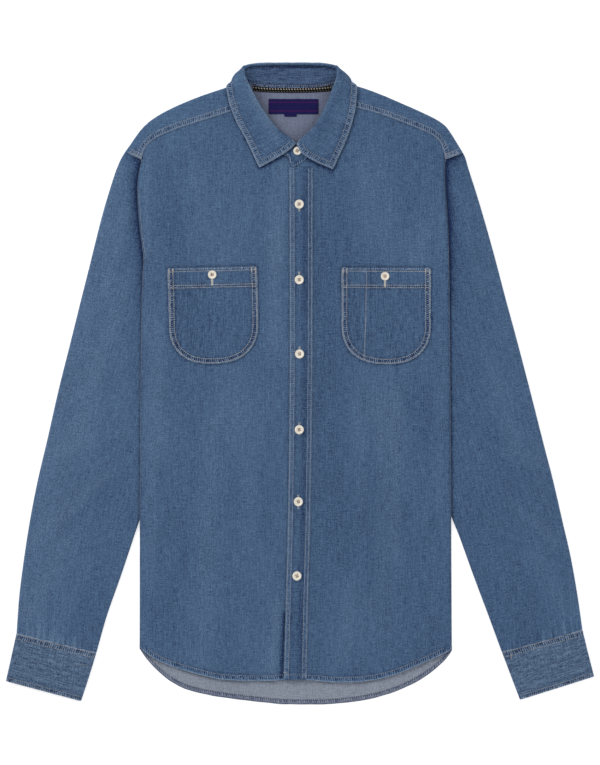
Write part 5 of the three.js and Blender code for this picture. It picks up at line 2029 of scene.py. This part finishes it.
@dataclass
class Collar:
    """Collar stand and leaf, swept through named lines from the centre back to the front.

    Attributes:
        cloth: thickness of the doubled cloth.
        lift: how far the left half is lifted to lie over the right one.
        seam: sewn relief along the leaf's free edges.
        foot_seam: sewn relief along the stand's foot.
    """

    cloth: float = 1.6
    lift: float = 2.2
    seam: Seam = Seam(
        (1.6, 6.8), groove=0.24, pucker=0.16, raised=0.3, reach=8.0, worn=0.65, mottle=1.6,
        faded=0.2, seed=71,
    )
    foot_seam: Seam = Seam((1.8,), raised=0.2, reach=5.0, worn=0.6, seed=75)

    def rails(self, side: int, count: int) -> dict[str, Array]:
        """The named lines of one half, from the centre back to the front, as points.

        Args:
            side: -1 for the right one, 1 for the left one.
            count: points a line.

        Returns:
            The lines by name.
        """
        index = np.arange(len(COLLAR_FOOT.rows), dtype=float)
        t = np.linspace(0.0, index[-1], count)
        over = self.lift * ease(322.0, 296.0, through(index, COLLAR_FOOT["y"], t)) * (side > 0)
        rails = {key: collar_line(key, side, t) for key in COLLAR_LINES}
        for key, (_, share) in COLLAR_LINES.items():
            rails[key][:, 2] += over * share
        return rails

    def both(self, count: int) -> dict[str, Array]:
        """The named lines of the whole collar, from the right front round to the left."""
        right, left = self.rails(-1, count), self.rails(1, count)
        return {key: np.vstack([right[key][::-1], left[key][1:]]) for key in right}

    def leaf(self) -> Shell:
        """The leaf: each row is a smooth curve from the stand's top over the fold and out to
        the free edge, read by the distance along its named points.

        Returns:
            The leaf.
        """
        rails = self.both(110)
        up = rails["top"] - rails["foot"]
        up /= np.linalg.norm(up, axis=1, keepdims=True)
        start = rails["top"] + up * 1.8
        stops = np.stack([start] + [rails[k] for k in ("fold", "bend", "low", "edge")], 1)
        shares = spaced(0.0, 44.0, 1.3, 0.4)
        face = np.array([through(lengths(row), row, shares * lengths(row)[-1]) for row in stops])
        face[..., 2] = np.maximum(face[..., 2], 0.0)
        run = np.array([lengths(row) for row in face])
        from_edge = run[:, -1:] - run
        arc = lengths(rails["edge"])
        x, y = face[..., 0], face[..., 1]
        fronts = [nearest(face[k, :, :2], x, y) for k in (0, -1)]
        front = np.minimum(fronts[0][0], fronts[1][0])
        front = np.where(np.minimum(arc, arc[-1] - arc)[:, None] < 60.0, front, 60.0)
        distance = np.minimum(from_edge, front)
        along = np.where(from_edge < front, arc[:, None], run)
        normal = normals(face)
        relief = self.seam.relief(distance, along) + 0.10 * Ripple(17.0, 73).at(x, y)
        wrinkle = crease_field(LEAF_CREASES, x, y)
        behind = face + normal * self.cloth
        face = face - normal * ((relief + wrinkle) * ease(0.0, 6.0, run))[..., None]
        # The free edges are worn pale and the fold is paler; the shade and highlight of the wrinkles, the
        # left half (to the viewer's right) a little darker, and the dark line where the leaf leaves the stand
        # are painted light.
        wear_and_shade = self.seam.wear_and_shade(distance) + 0.2 * bell(run - 4.0, 2.4) + np.clip(0.24 * wrinkle, -0.22, 0.08)
        wear_and_shade = wear_and_shade - 0.05 * ease(-30.0, 10.0, x)
        wear_and_shade = wear_and_shade - 0.5 * bell(run, 2.6)
        uv = np.stack([arc[:, None] + 0.0 * run, run], -1)
        rope = (self.seam.zone(distance) * ease(4.0, 9.0, run), along, distance)
        return Shell(face, behind, uv, wear_and_shade, rope)

    def stand(self) -> Shell:
        """The stand: each row is a straight path from its foot to its top; its right end
        runs on beneath the left one, which ends on top at the button.

        Returns:
            The stand.
        """
        rails = self.both(110)
        middle = float(collar_middle(283.4))
        under = {"foot": [middle + 8.0, 283.4, 2.0], "top": [middle + 13.0, 299.0, 2.6]}
        over = {"foot": [middle - 5.2, 281.6, 6.8], "top": [middle - 12.8, 299.6, 8.6]}
        lines = {}
        for key in ("foot", "top"):
            first, last = rails[key][0], rails[key][-1]
            lead = first + (np.array(under[key]) - first) * np.linspace(1, 0, 9)[:-1, None]
            tail = last + (np.array(over[key]) - last) * np.linspace(0, 1, 9)[1:, None]
            lines[key] = np.vstack([lead, rails[key], tail])
        shares = spaced(0.0, 27.0, 1.2, 0.4)[None, :, None]
        face = lines["foot"][:, None] + shares * (lines["top"] - lines["foot"])[:, None]
        tall = np.linalg.norm(lines["top"] - lines["foot"], axis=1)[:, None]
        arc = lengths(lines["foot"])
        up = shares[..., 0] * tall
        end = (arc[-1] - arc)[:, None]
        normal = normals(face)
        relief = self.foot_seam.relief(np.minimum(up, end), arc[:, None])
        behind = face + normal * self.cloth
        face = face - normal * relief[..., None]
        uv = np.stack([up, arc[:, None] + 0.0 * up], -1)
        # Painted shade darkens the top of the stand, under the leaf; its foot edge is worn pale.
        wear_and_shade = self.foot_seam.wear_and_shade(np.minimum(up, end)) - 0.7 * ease(0.84, 0.97, up / tall)
        rope = (0.9 * ease(4.6, 2.6, np.minimum(up, end)), arc[:, None], up)
        return Shell(face, behind, uv, wear_and_shade, rope)

    def build(self, wardrobe: Wardrobe) -> dict[str, bpy.types.Object]:
        """Args:
            wardrobe: the finishes.

        Returns:
            The objects by CAD node.
        """
        face, inside = wardrobe.of(Finish.BODY, Finish.STAND)
        stand = Piece("collar_band").add(self.stand()).build([inside, face], "denim", "collar_stand")
        leaf = Piece("collar_fall").add(self.leaf()).build([face], "denim", "collar_leaf")
        return {"collar_stand": stand, "collar_leaf": leaf}


@dataclass
class NeckTrim:
    """Label, size tab and tape on the inside of the yoke."""

    cloth: float = 1.0
    base: float = 1.5

    def patch(self, x0: float, x1: float, y0: float, y1: float, sag: float) -> Shell:
        """A woven patch: a flat grid with slightly curling ends and soft waves.

        Args:
            box: its least and greatest X, then Y.
            sag: height of its waves.

        Returns:
            The patch.
        """
        cols = spaced(x0, x1, 1.2, 0.3)
        rows = spaced(y0, y1, 1.2, 0.3)[:, None]
        x = x0 + cols * (x1 - x0) + 0.0 * rows
        y = y0 + rows * (y1 - y0) + 0.0 * cols
        wave = sag * Ripple(22.0, 81).at(x, y)
        under = np.stack([x, y, np.full(x.shape, self.base)], -1)
        upper = raised(under, self.cloth + wave)
        uv = np.stack([x - 0.5 * (x0 + x1), y - 0.5 * (y0 + y1)], -1)
        return Shell(upper, under, uv)

    def tape(self) -> Shell:
        """The tape: a strip that follows the neck seam from shoulder to shoulder.

        Returns:
            The tape.
        """
        cols = spaced(-60.8, 40.2, 1.2, 0.3)
        rows = spaced(0.0, 6.0, 0.8, 0.25)[:, None]
        x = -60.8 + cols * 101.0 + 0.0 * rows
        y = BACK_NECK.read("x", "y", x) - 5.0 + rows * 5.6
        under = np.stack([x, y, np.full(x.shape, self.base)], -1)
        upper = raised(under, self.cloth + 0.05 * Ripple(14.0, 83).at(x, y))
        uv = np.stack([x, (rows - 0.5) * 5.6 + 0.0 * x], -1)
        return Shell(upper, under, uv)

    def build(self, wardrobe: Wardrobe) -> dict[str, bpy.types.Object]:
        """Args:
            wardrobe: the finishes.

        Returns:
            The objects by CAD node.
        """
        label, tape = wardrobe.of(Finish.LABEL, Finish.TAPE)
        made = {
            "label": Piece("woven_label").add(self.patch(-40.4, 23.4, 350.7, 369.5, 0.12)).build(
                [label], "label", "label"
            ),
            "size_tab": Piece("small_tab").add(self.patch(-20.0, -4.8, 347.4, 350.4, 0.03)).build(
                [label], "label", "size_tab"
            ),
            "neck_tape": Piece("neck_binding").add(self.tape()).build([tape], "tape", "neck_tape"),
        }
        return made


@dataclass
class Button:
    """A sewn-on button: turned rim, dished middle, four holes and crossing thread.

    Attributes:
        node: the CAD node it stands for.
        radius: outer radius in millimetres.
        turn: how far it is turned, in degrees.
        hole_way: distance of a hole's middle from the button's.
        hole_depth: depth of a hole.
        thread_way: distance of a pair of threads from the middle.
        thread_gap: half of the room between the two of a pair.
        thread_z: height of the thread over the underside.
    """

    node: str
    radius: float
    turn: float
    hole_way: float = 1.55
    hole_depth: float = 1.1
    thread_way: float = 1.1
    thread_gap: float = 0.28
    thread_z: float = 1.62

    def profile(self, share: Array) -> Array:
        """Height over the radius share: a flat dish, a rounded rim, and a fall to the edge.

        Args:
            share: distance from the middle over the radius.

        Returns:
            Heights in millimetres.
        """
        marks = np.array([0.0, 0.46, 0.58, 0.72, 0.84, 0.93, 0.985, 1.0])
        tall = np.array([1.45, 1.45, 1.75, 2.25, 2.38, 2.2, 1.6, 0.9])
        return through(marks, tall, share)

    def disc(self, centre: Array) -> dict[str, Array]:
        """The button as a polar grid, with four pits for holes, closed beneath.

        Args:
            centre: middle of its underside.

        Returns:
            The closed disc, as a shell's arrays.
        """
        rings = np.concatenate([np.linspace(0.02, 0.9, 22), [0.94, 0.97, 0.99, 1.0]])
        angle = np.linspace(0.0, 2 * math.pi, 49)[:-1]
        share, turn = np.meshgrid(rings, angle, indexing="ij")
        x, y = self.radius * share * np.cos(turn), self.radius * share * np.sin(turn)
        z = self.profile(share)
        pit = np.zeros(x.shape)
        for k in range(4):
            a = math.radians(self.turn + 45.0 + 90.0 * k)
            away = np.hypot(x - self.hole_way * math.cos(a), y - self.hole_way * math.sin(a))
            pit = np.maximum(pit, ease(1.05, 0.6, away))
        outer = np.stack([x, y, z - self.hole_depth * pit], -1) + centre
        bottom = np.stack([x * 0.86, y * 0.86, 0.25 * share**2], -1) + centre
        uv = np.stack([x, y], -1) + centre[:2]
        # The pits also carry the painted shade that darkens the holes.
        return Shell(outer, bottom, uv, pit, looped=True, rim=0.25).arrays()

    def build(self, wardrobe: Wardrobe) -> list[bpy.types.Object]:
        """Builds the disc and its thread over the CAD button.

        Args:
            wardrobe: the finishes.

        Returns:
            The disc and its thread.
        """
        low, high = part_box(self.node)
        centre = np.array([(low.x + high.x) / 2, (low.y + high.y) / 2, low.z]) / MM
        disc = Piece(f"{self.node}_disc").add(self.disc(centre)).build(
            wardrobe.of(Finish.RESIN), "button", self.node
        )
        thread = StitchSet(f"{self.node}_thread", length=3.6)
        a = math.radians(self.turn)
        way = np.array([math.cos(a), math.sin(a), 0.0])
        beside = np.array([-math.sin(a), math.cos(a), 0.0])
        up = np.array([0.0, 0.0, 1.0])
        for k in (-1, 1):
            for shift in (-self.thread_gap, self.thread_gap):
                at = centre + self.thread_z * up + (self.thread_way * k + shift) * beside
                thread.put(at, way, up)
        return [disc, thread.build(wardrobe, Finish.BUTTON_THREAD)]


class StitchSet:
    """Many stitches as one object: each is a small capsule laid along its row."""

    def __init__(self, name: str, length: float = 2.3, radius: float = 0.34) -> None:
        """Starts an empty set of stitches of one size, in millimetres.

        Args:
            name: the object's name.
            length: length of a stitch.
            radius: half of its thickness.
        """
        self.name = name
        self.length = length
        self.radius = radius
        self.frames: list[tuple[Array, Array, Array, float]] = []

    def put(self, at: Array, way: Array, normal: Array, scale: float = 1.0) -> None:
        """Adds one stitch at a point, along a direction, standing on a normal."""
        self.frames.append((at, way, normal, scale))

    def capsule(self) -> tuple[Array, Array]:
        """One stitch along X: rings whose radius is the root of the room left to the ends,
        and whose height dips at both ends.

        Returns:
            Its points, and its faces as four indices each.
        """
        along = np.array([-0.5, -0.42, -0.2, 0.2, 0.42, 0.5])
        size = np.array([0.25, 0.75, 1.0, 1.0, 0.75, 0.25]) * self.radius
        dip = np.array([-0.6, -0.15, 0.25, 0.25, -0.15, -0.6]) * self.radius
        angle = np.linspace(0.0, 2 * math.pi, 6)[:-1]
        ring = np.stack([np.zeros(5), np.cos(angle), np.sin(angle)], -1)
        points = ring[None] * size[:, None, None]
        points[..., 0] += (along * self.length)[:, None]
        points[..., 2] += dip[:, None]
        index = np.arange(30).reshape(6, 5)
        a, b = index[:-1].ravel(), np.roll(index, -1, 1)[:-1].ravel()
        c, d = np.roll(index, -1, 1)[1:].ravel(), index[1:].ravel()
        sides = np.stack([a, d, c, b], 1)
        caps = np.array([[0, 1, 2, 3], [0, 3, 4, 0], [25, 28, 27, 26], [25, 29, 28, 25]])
        return points.reshape(-1, 3), np.vstack([sides, caps])

    def build(self, wardrobe: Wardrobe, finish: Finish) -> bpy.types.Object:
        """Joins the stitches into one object: each is the capsule turned by its frame.

        Args:
            wardrobe: the finishes.
            finish: the thread's finish.

        Returns:
            The new object.
        """
        points, quads = self.capsule()
        at, way, normal = (np.array([f[k] for f in self.frames]) for k in range(3))
        scale = np.array([f[3] for f in self.frames])[:, None, None]
        side = np.cross(normal, way)
        side /= np.maximum(np.linalg.norm(side, axis=1, keepdims=True), 1e-9)
        up = np.cross(way, side)
        turned = (
            points[None, :, 0:1] * way[:, None]
            + points[None, :, 1:2] * side[:, None]
            + points[None, :, 2:3] * up[:, None]
        )
        verts = (turned * scale + at[:, None]).reshape(-1, 3)
        count = len(at)
        all_quads = (quads[None] + (np.arange(count) * len(points))[:, None, None]).reshape(-1, 4)
        faces = [list(dict.fromkeys(face)) for face in all_quads.tolist()]
        mesh = bpy.data.meshes.new(self.name)
        mesh.from_pydata((verts * MM).tolist(), [], faces)
        corners = np.zeros(len(mesh.loops), int)
        mesh.loops.foreach_get("vertex_index", corners)
        mesh.uv_layers.new(name="cloth").data.foreach_set("uv", (verts[corners, :2] * MM).ravel())
        mesh.materials.append(wardrobe.of(finish)[0])
        mesh.polygons.foreach_set("use_smooth", np.ones(len(mesh.polygons), bool))
        obj = bpy.data.objects.new(self.name, mesh)
        bpy.context.scene.collection.objects.link(obj)
        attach(obj, "root")
        on_button = finish in (Finish.PALE_THREAD, Finish.BUTTON_THREAD)
        log.info("%s: %d stitches", self.name, count)
        return obj


class Cloth:
    """The shown cloth as one surface to sew on, read by rays straight down or up."""

    def __init__(self, objects: list[bpy.types.Object]) -> None:
        """Gathers the objects' faces into one search tree.

        Args:
            objects: what is sewn on.
        """
        verts, faces, start = [], [], 0
        for obj in objects:
            mesh = obj.data
            co = np.zeros(len(mesh.vertices) * 3)
            mesh.vertices.foreach_get("co", co)
            quads = np.zeros(len(mesh.loops), int)
            mesh.loops.foreach_get("vertex_index", quads)
            verts.append(co.reshape(-1, 3))
            faces.append(quads.reshape(-1, 4) + start)
            start += len(mesh.vertices)
        self.tree = BVHTree.FromPolygons(np.vstack(verts).tolist(), np.vstack(faces).tolist())

    def hit(self, x: float, y: float, below: bool = False) -> tuple[Array, Array] | None:
        """The shown point and normal at a plan place, in millimetres, or None.

        Args:
            x: plan place.
            y: plan place.
            below: whether to look from below.

        Returns:
            The point and the normal.
        """
        down = -1.0 if not below else 1.0
        start = Vector((x * MM, y * MM, -down * 0.1))
        place, normal, _, _ = self.tree.ray_cast(start, Vector((0.0, 0.0, down)))
        if place is None:
            return None
        facing = np.array(normal) * (1.0 if normal.z * -down > 0 else -1.0)
        return np.array(place) / MM, facing

    def sew(self, stitches: StitchSet, line: Array, below: bool = False, pitch: float = 2.8) -> None:
        """Lays a row of stitches along plan points: one a pitch, each from hit to hit.

        Args:
            stitches: the set to add to.
            line: plan points in millimetres.
            below: whether the row lies on the underside.
            pitch: distance from one stitch to the next.
        """
        run = lengths(line)
        count = max(2, int(run[-1] / pitch))
        marks = (np.arange(count) + 0.5) * run[-1] / count
        reach = 0.5 * stitches.length
        rng = np.random.default_rng(int(abs(line[0, 0] * 7 + line[0, 1] * 3)) + count)
        for mark in marks:
            ends = [
                [np.interp(mark + s * reach, run, line[:, k]) for k in (0, 1)] for s in (-1, 1)
            ]
            drift = rng.normal(0.0, 0.10, 2)
            hits = [self.hit(e[0] + drift[0], e[1] + drift[1], below) for e in ends]
            if None in hits or abs(hits[0][0][2] - hits[1][0][2]) > 1.6:
                continue
            way = hits[1][0] - hits[0][0]
            way /= max(np.linalg.norm(way), 1e-9)
            normal = hits[0][1] + hits[1][1]
            normal /= max(np.linalg.norm(normal), 1e-9)
            at = 0.5 * (hits[0][0] + hits[1][0]) + normal * 0.12
            stitches.put(at, way, normal, rng.uniform(0.9, 1.06))

    def bar(self, stitches: StitchSet, x: float, y: float, length: float, turn: float = 90.0) -> None:
        """A bartack: short stitches side by side along a line.

        Args:
            stitches: the set to add to.
            x: middle of the line.
            y: middle of the line.
            length: length of the line.
            turn: its angle from X, in degrees.
        """
        a = math.radians(turn)
        for off in np.arange(-0.5 * length, 0.5 * length + 0.1, 0.55):
            found = self.hit(x + math.cos(a) * off, y + math.sin(a) * off)
            if found:
                way = np.array([-math.sin(a), math.cos(a), 0.0])
                stitches.put(found[0] + found[1] * 0.3, way, found[1], 0.72)


def offset_line(line: Array, distance: float) -> Array:
    """The line moved sideways, to the left of its direction.

    Args:
        line: plan points.
        distance: how far, in millimetres.

    Returns:
        The moved points.
    """
    tangent = np.gradient(line, axis=0)
    tangent /= np.maximum(np.linalg.norm(tangent, axis=1, keepdims=True), 1e-9)
    return line + np.stack([-tangent[:, 1], tangent[:, 0]], -1) * distance


@dataclass
class Sewing:
    """Every row of stitches on the shirt, laid on the shown cloth.

    Attributes:
        pockets: both chest pockets.
        collar: the collar.
    """

    pockets: list[Pocket]
    collar: Collar

    def hems(self, cloth: Cloth, sew: StitchSet) -> None:
        """One row along the front hem, and one along the back hem that shows on both sides.

        Args:
            cloth: the shown cloth.
            sew: the stitches to add to.
        """
        x = np.linspace(-205.0, 194.0, 300)
        front = offset_line(np.stack([x, FRONT_HEM.read("x", "y", x)], -1), 6.0)[3:-3]
        back = offset_line(np.stack([x, BACK_HEM.read("x", "y", x)], -1), 5.6)[3:-3]
        cloth.sew(sew, front)
        cloth.sew(sew, back)
        cloth.sew(sew, back, below=True)

    def band(self, cloth: Cloth, sew: StitchSet) -> None:
        """Two rows down each edge of the buttonhole band, and a tack at its foot.

        Args:
            cloth: the shown cloth.
            sew: the stitches to add to.
        """
        y = np.linspace(279.0, -383.0, 300)
        left, right = band_sides(y)
        for line in (left + 1.0, left + 5.4, right - 5.5, right - 1.4):
            cloth.sew(sew, np.stack([line, y], -1))
        cloth.bar(sew, *BAND_BAR)

    def shoulders(self, cloth: Cloth, sew: StitchSet) -> None:
        """Two rows along each front yoke seam and two across its armhole end.

        Args:
            cloth: the shown cloth.
            sew: the stitches to add to.
        """
        for side, table in ((-1, YOKE_RIGHT), (1, YOKE_LEFT)):
            t = np.linspace(0.4, len(table.rows) - 1.12, 200)
            index = np.arange(len(table.rows), dtype=float)
            fold = through(index, table.columns("fold_x", "fold_y"), t)
            seam = through(index, table.columns("seam_x", "seam_y"), t)
            toward = (fold - seam) / np.linalg.norm(fold - seam, axis=1, keepdims=True)
            for up in (1.2, 6.6):
                cloth.sew(sew, seam + toward * up)
            ends = [table.columns(f"{name}_x", f"{name}_y")[-1] for name in ("fold", "seam")]
            for inset in (1.4, 6.4):
                cloth.sew(sew, offset_line(np.linspace(*ends, 30), -side * inset)[4:])

    def armhole(self, cloth: Cloth, sew: StitchSet) -> None:
        """One row beside the right armhole; the left one's lies in its fold."""
        y = np.linspace(UNDERARM_Y + 3.0, 252.0, 60)
        cloth.sew(sew, np.stack([LAY.edge(-1, y) + 2.6, y], -1))

    def pocket_rows(self, cloth: Cloth, sew: StitchSet) -> None:
        """Two rows round each pocket, three along its hem, corner tacks and the pen slot.

        Args:
            cloth: the shown cloth.
            sew: the stitches to add to.
        """
        for pocket in self.pockets:
            for inset in pocket.edge.rows:
                cloth.sew(sew, pocket.outline(inset))
            across = np.linspace(-0.5 * pocket.width + 1.5, 0.5 * pocket.width - 1.5, 60)
            for depth in pocket.hem_rows():
                x, y = pocket.plan(across, np.full(across.shape, depth))
                cloth.sew(sew, np.stack([x, y], -1))
            for end, inset in ((-1, 1.4), (-1, 6.3), (1, 1.4), (1, 6.3)):
                x, y = pocket.plan(end * (0.5 * pocket.width - inset), 4.2)
                cloth.bar(sew, x, y, 7.0)
        cloth.sew(sew, PEN_SLOT)

    def collar_rows(self, cloth: Cloth, sew: StitchSet) -> None:
        """Two rows inside the leaf's free edges, and one along the foot of the stand.

        Args:
            cloth: the shown cloth.
            sew: the stitches to add to.
        """
        for side in (-1, 1):
            rails = self.collar.rails(side, 60)
            edge, low = rails["edge"][:, :2], rails["low"][:, :2]
            front = collar_front(side, 60)
            inward = (low - edge) / np.maximum(np.linalg.norm(low - edge, axis=1, keepdims=True), 1e-9)
            long_way = (edge[-3] - edge[-1]) / np.linalg.norm(edge[-3] - edge[-1])
            short_way = (front[12] - front[0]) / np.linalg.norm(front[12] - front[0])
            sine = abs(float(np.cross(long_way, short_way)))
            for inset in self.collar.seam.rows:
                start = edge[-1] + (long_way + short_way) * inset / sine
                outer = edge[30:] + inward[30:] * inset
                keep = ((outer - start) @ long_way) > 0.0
                cloth.sew(sew, np.vstack([outer[keep], start[None]]))
                across = offset_line(front, -side * inset)
                keep = ((across - start) @ short_way) > 0.0
                cloth.sew(sew, np.vstack([start[None], across[keep]])[:-4])
        rails = self.collar.both(60)
        foot, top = rails["foot"][:, :2], rails["top"][:, :2]
        cloth.sew(sew, (foot + 0.09 * (top - foot))[38:81])

    def cuff_rows(self, cloth: Cloth, sew: StitchSet) -> None:
        """Two rows below each cuff seam, one above the cuff's edge, and short tacks.

        Args:
            cloth: the shown cloth.
            sew: the stitches to add to.
        """
        for table in (CUFF_RIGHT, CUFF_LEFT):
            outer, inner = table.columns("outer_x", "outer_y"), table.columns("inner_x", "inner_y")
            run = float(np.linalg.norm(outer[-1] - outer[0]))
            shares = np.linspace(0.02, 0.98, 60)[:, None]
            for down in (1.4, 7.0, run - 4.2):
                f = np.array([down / run * 2.0])
                a = through(np.arange(3.0), outer, f)[0]
                b = through(np.arange(3.0), inner, f)[0]
                cloth.sew(sew, a + shares * (b - a))
        cloth.bar(sew, *CUFF_BAR)
        cloth.sew(sew, CUFF_TACK)

    def buttonholes(self, cloth: Cloth, sew: StitchSet) -> None:
        """A worked buttonhole behind each button: dense short stitches down both lips.

        Args:
            cloth: the shown cloth.
            sew: the stitches to add to.
        """
        for name in [f"button_{k}" for k in range(1, 7)] + ["pocket_button_right", "pocket_button_left"]:
            low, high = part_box(name)
            x, y = (low.x + high.x) / 2 / MM, (low.y + high.y) / 2 / MM
            shift, half, size = BUTTONHOLES.get(name, (-4.5, 9.0, 0.75))
            for lip in (-0.7, 0.7):
                for step in np.linspace(-half, half, 26):
                    found = cloth.hit(x + lip, y + shift + step)
                    if found:
                        sew.put(found[0] + found[1] * 0.15, np.array([1.0, 0, 0]), found[1], size)

    def build(self, cloth: Cloth, wardrobe: Wardrobe) -> None:
        """Sews every group of rows as one object each.

        Args:
            cloth: the shown cloth.
            wardrobe: the finishes.
        """
        for name, rows, finish in (
            ("hem_stitches", self.hems, Finish.DIM_THREAD),
            ("band_stitches", self.band, Finish.WARM_THREAD),
            ("shoulder_stitches", self.shoulders, Finish.WARM_THREAD),
            ("armhole_stitches", self.armhole, Finish.DIM_THREAD),
            ("pocket_stitches", self.pocket_rows, Finish.THREAD),
            ("collar_stitches", self.collar_rows, Finish.DIM_THREAD),
            ("cuff_stitches", self.cuff_rows, Finish.DIM_THREAD),
            ("buttonhole_stitches", self.buttonholes, Finish.PALE_THREAD),
        ):
            stitches = StitchSet(name)
            rows(cloth, stitches)
            if stitches.frames:
                stitches.build(wardrobe, finish)


@dataclass
class Studio:
    """A white light table, soft light and the camera straight above.

    Attributes:
        lens: focal length in millimetres.
        sensor: the sensor's long side in millimetres.
        view_height: height of the view at the shirt, in millimetres.
        centre_y: place that the camera looks at.
    """

    lens: float = 200.0
    sensor: float = 36.0
    view_height: float = 994.5
    centre_y: float = 1.3

    def floor(self) -> None:
        """A large flat plane with a near-white finish that glows a little."""
        bpy.ops.mesh.primitive_plane_add(size=8.0, location=(0.0, 0.0, -0.0006))
        plane = bpy.context.object
        plane.name = "floor"
        sh = Shader("floor_white")
        place = sh.node("ShaderNodeTexCoord", {}, {})[3]
        vary = sh.node("ShaderNodeTexNoise", {}, {"Vector": place, "Scale": 3.0})[0]
        colour = sh.mixed(vary, (0.88, 0.88, 0.88, 1.0), (0.90, 0.90, 0.90, 1.0))
        sh.surface.inputs["Emission Color"].default_value = (1.0, 1.0, 1.0, 1.0)
        sh.surface.inputs["Emission Strength"].default_value = 0.45
        plane.data.materials.append(sh.finish(Base_Color=colour, Roughness=0.9))

    def area(self, name: str, place: tuple[float, float, float], size: float, power: float) -> None:
        """A square area light that faces the shirt's middle.

        Args:
            name: the light's name.
            place: where it hangs, in metres.
            size: its side in metres.
            power: in watts.
        """
        data = bpy.data.lights.new(name, "AREA")
        data.size, data.energy = size, power
        lamp = bpy.data.objects.new(name, data)
        lamp.location = place
        lamp.rotation_euler = (-Vector(place)).to_track_quat("-Z", "Y").to_euler()
        bpy.context.scene.collection.objects.link(lamp)

    def build(self) -> None:
        """Adds the floor, the lights and the camera."""
        scene = bpy.context.scene
        self.floor()
        world = bpy.data.worlds.new("studio")
        world.use_nodes = True
        back = world.node_tree.nodes["Background"]
        back.inputs[0].default_value = (1.0, 1.0, 1.0, 1.0)
        back.inputs[1].default_value = 0.60
        scene.world = world
        self.area("key", (-1.9, 1.6, 1.9), 1.1, 32.0)
        self.area("fill", (1.5, -0.6, 2.4), 2.0, 14.0)
        data = bpy.data.cameras.new("camera")
        data.lens, data.sensor_width = self.lens, self.sensor
        camera = bpy.data.objects.new("camera", data)
        away = self.view_height * self.lens / self.sensor * MM
        camera.location = (0.0, self.centre_y * MM, away + 0.004)
        scene.collection.objects.link(camera)
        scene.camera = camera
        scene.view_settings.view_transform = "Standard"


def main() -> None:
    """Builds the shirt piece by piece, sews it, and sets the studio."""
    logging.basicConfig(level=logging.INFO, format="%(name)s %(message)s")
    wardrobe = Wardrobe()
    body = Body()
    made = body.build(wardrobe)
    made.update(Yoke().build(wardrobe))
    made.update(Arms().build(wardrobe))
    pockets = {
        "right": Pocket(-1, *POCKETS[-1], body),
        "left": Pocket(1, *POCKETS[1], body),
    }
    for word, pocket in pockets.items():
        made[f"pocket_{word}"] = pocket.build(wardrobe, word)
    collar = Collar()
    made.update(collar.build(wardrobe))
    made.update(NeckTrim().build(wardrobe))
    for k in range(1, 7):
        Button(f"button_{k}", 5.95, 4.0 * k).build(wardrobe)
    Button("button_collar", 5.3, 70.0).build(wardrobe)
    Button("pocket_button_right", 5.6, 84.0).build(wardrobe)
    Button("pocket_button_left", 5.6, 96.0).build(wardrobe)
    cloth = Cloth(list(made.values()))
    Sewing(list(pockets.values()), collar).build(cloth, wardrobe)
    Studio().build()


if __name__ == "__main__":
    main()
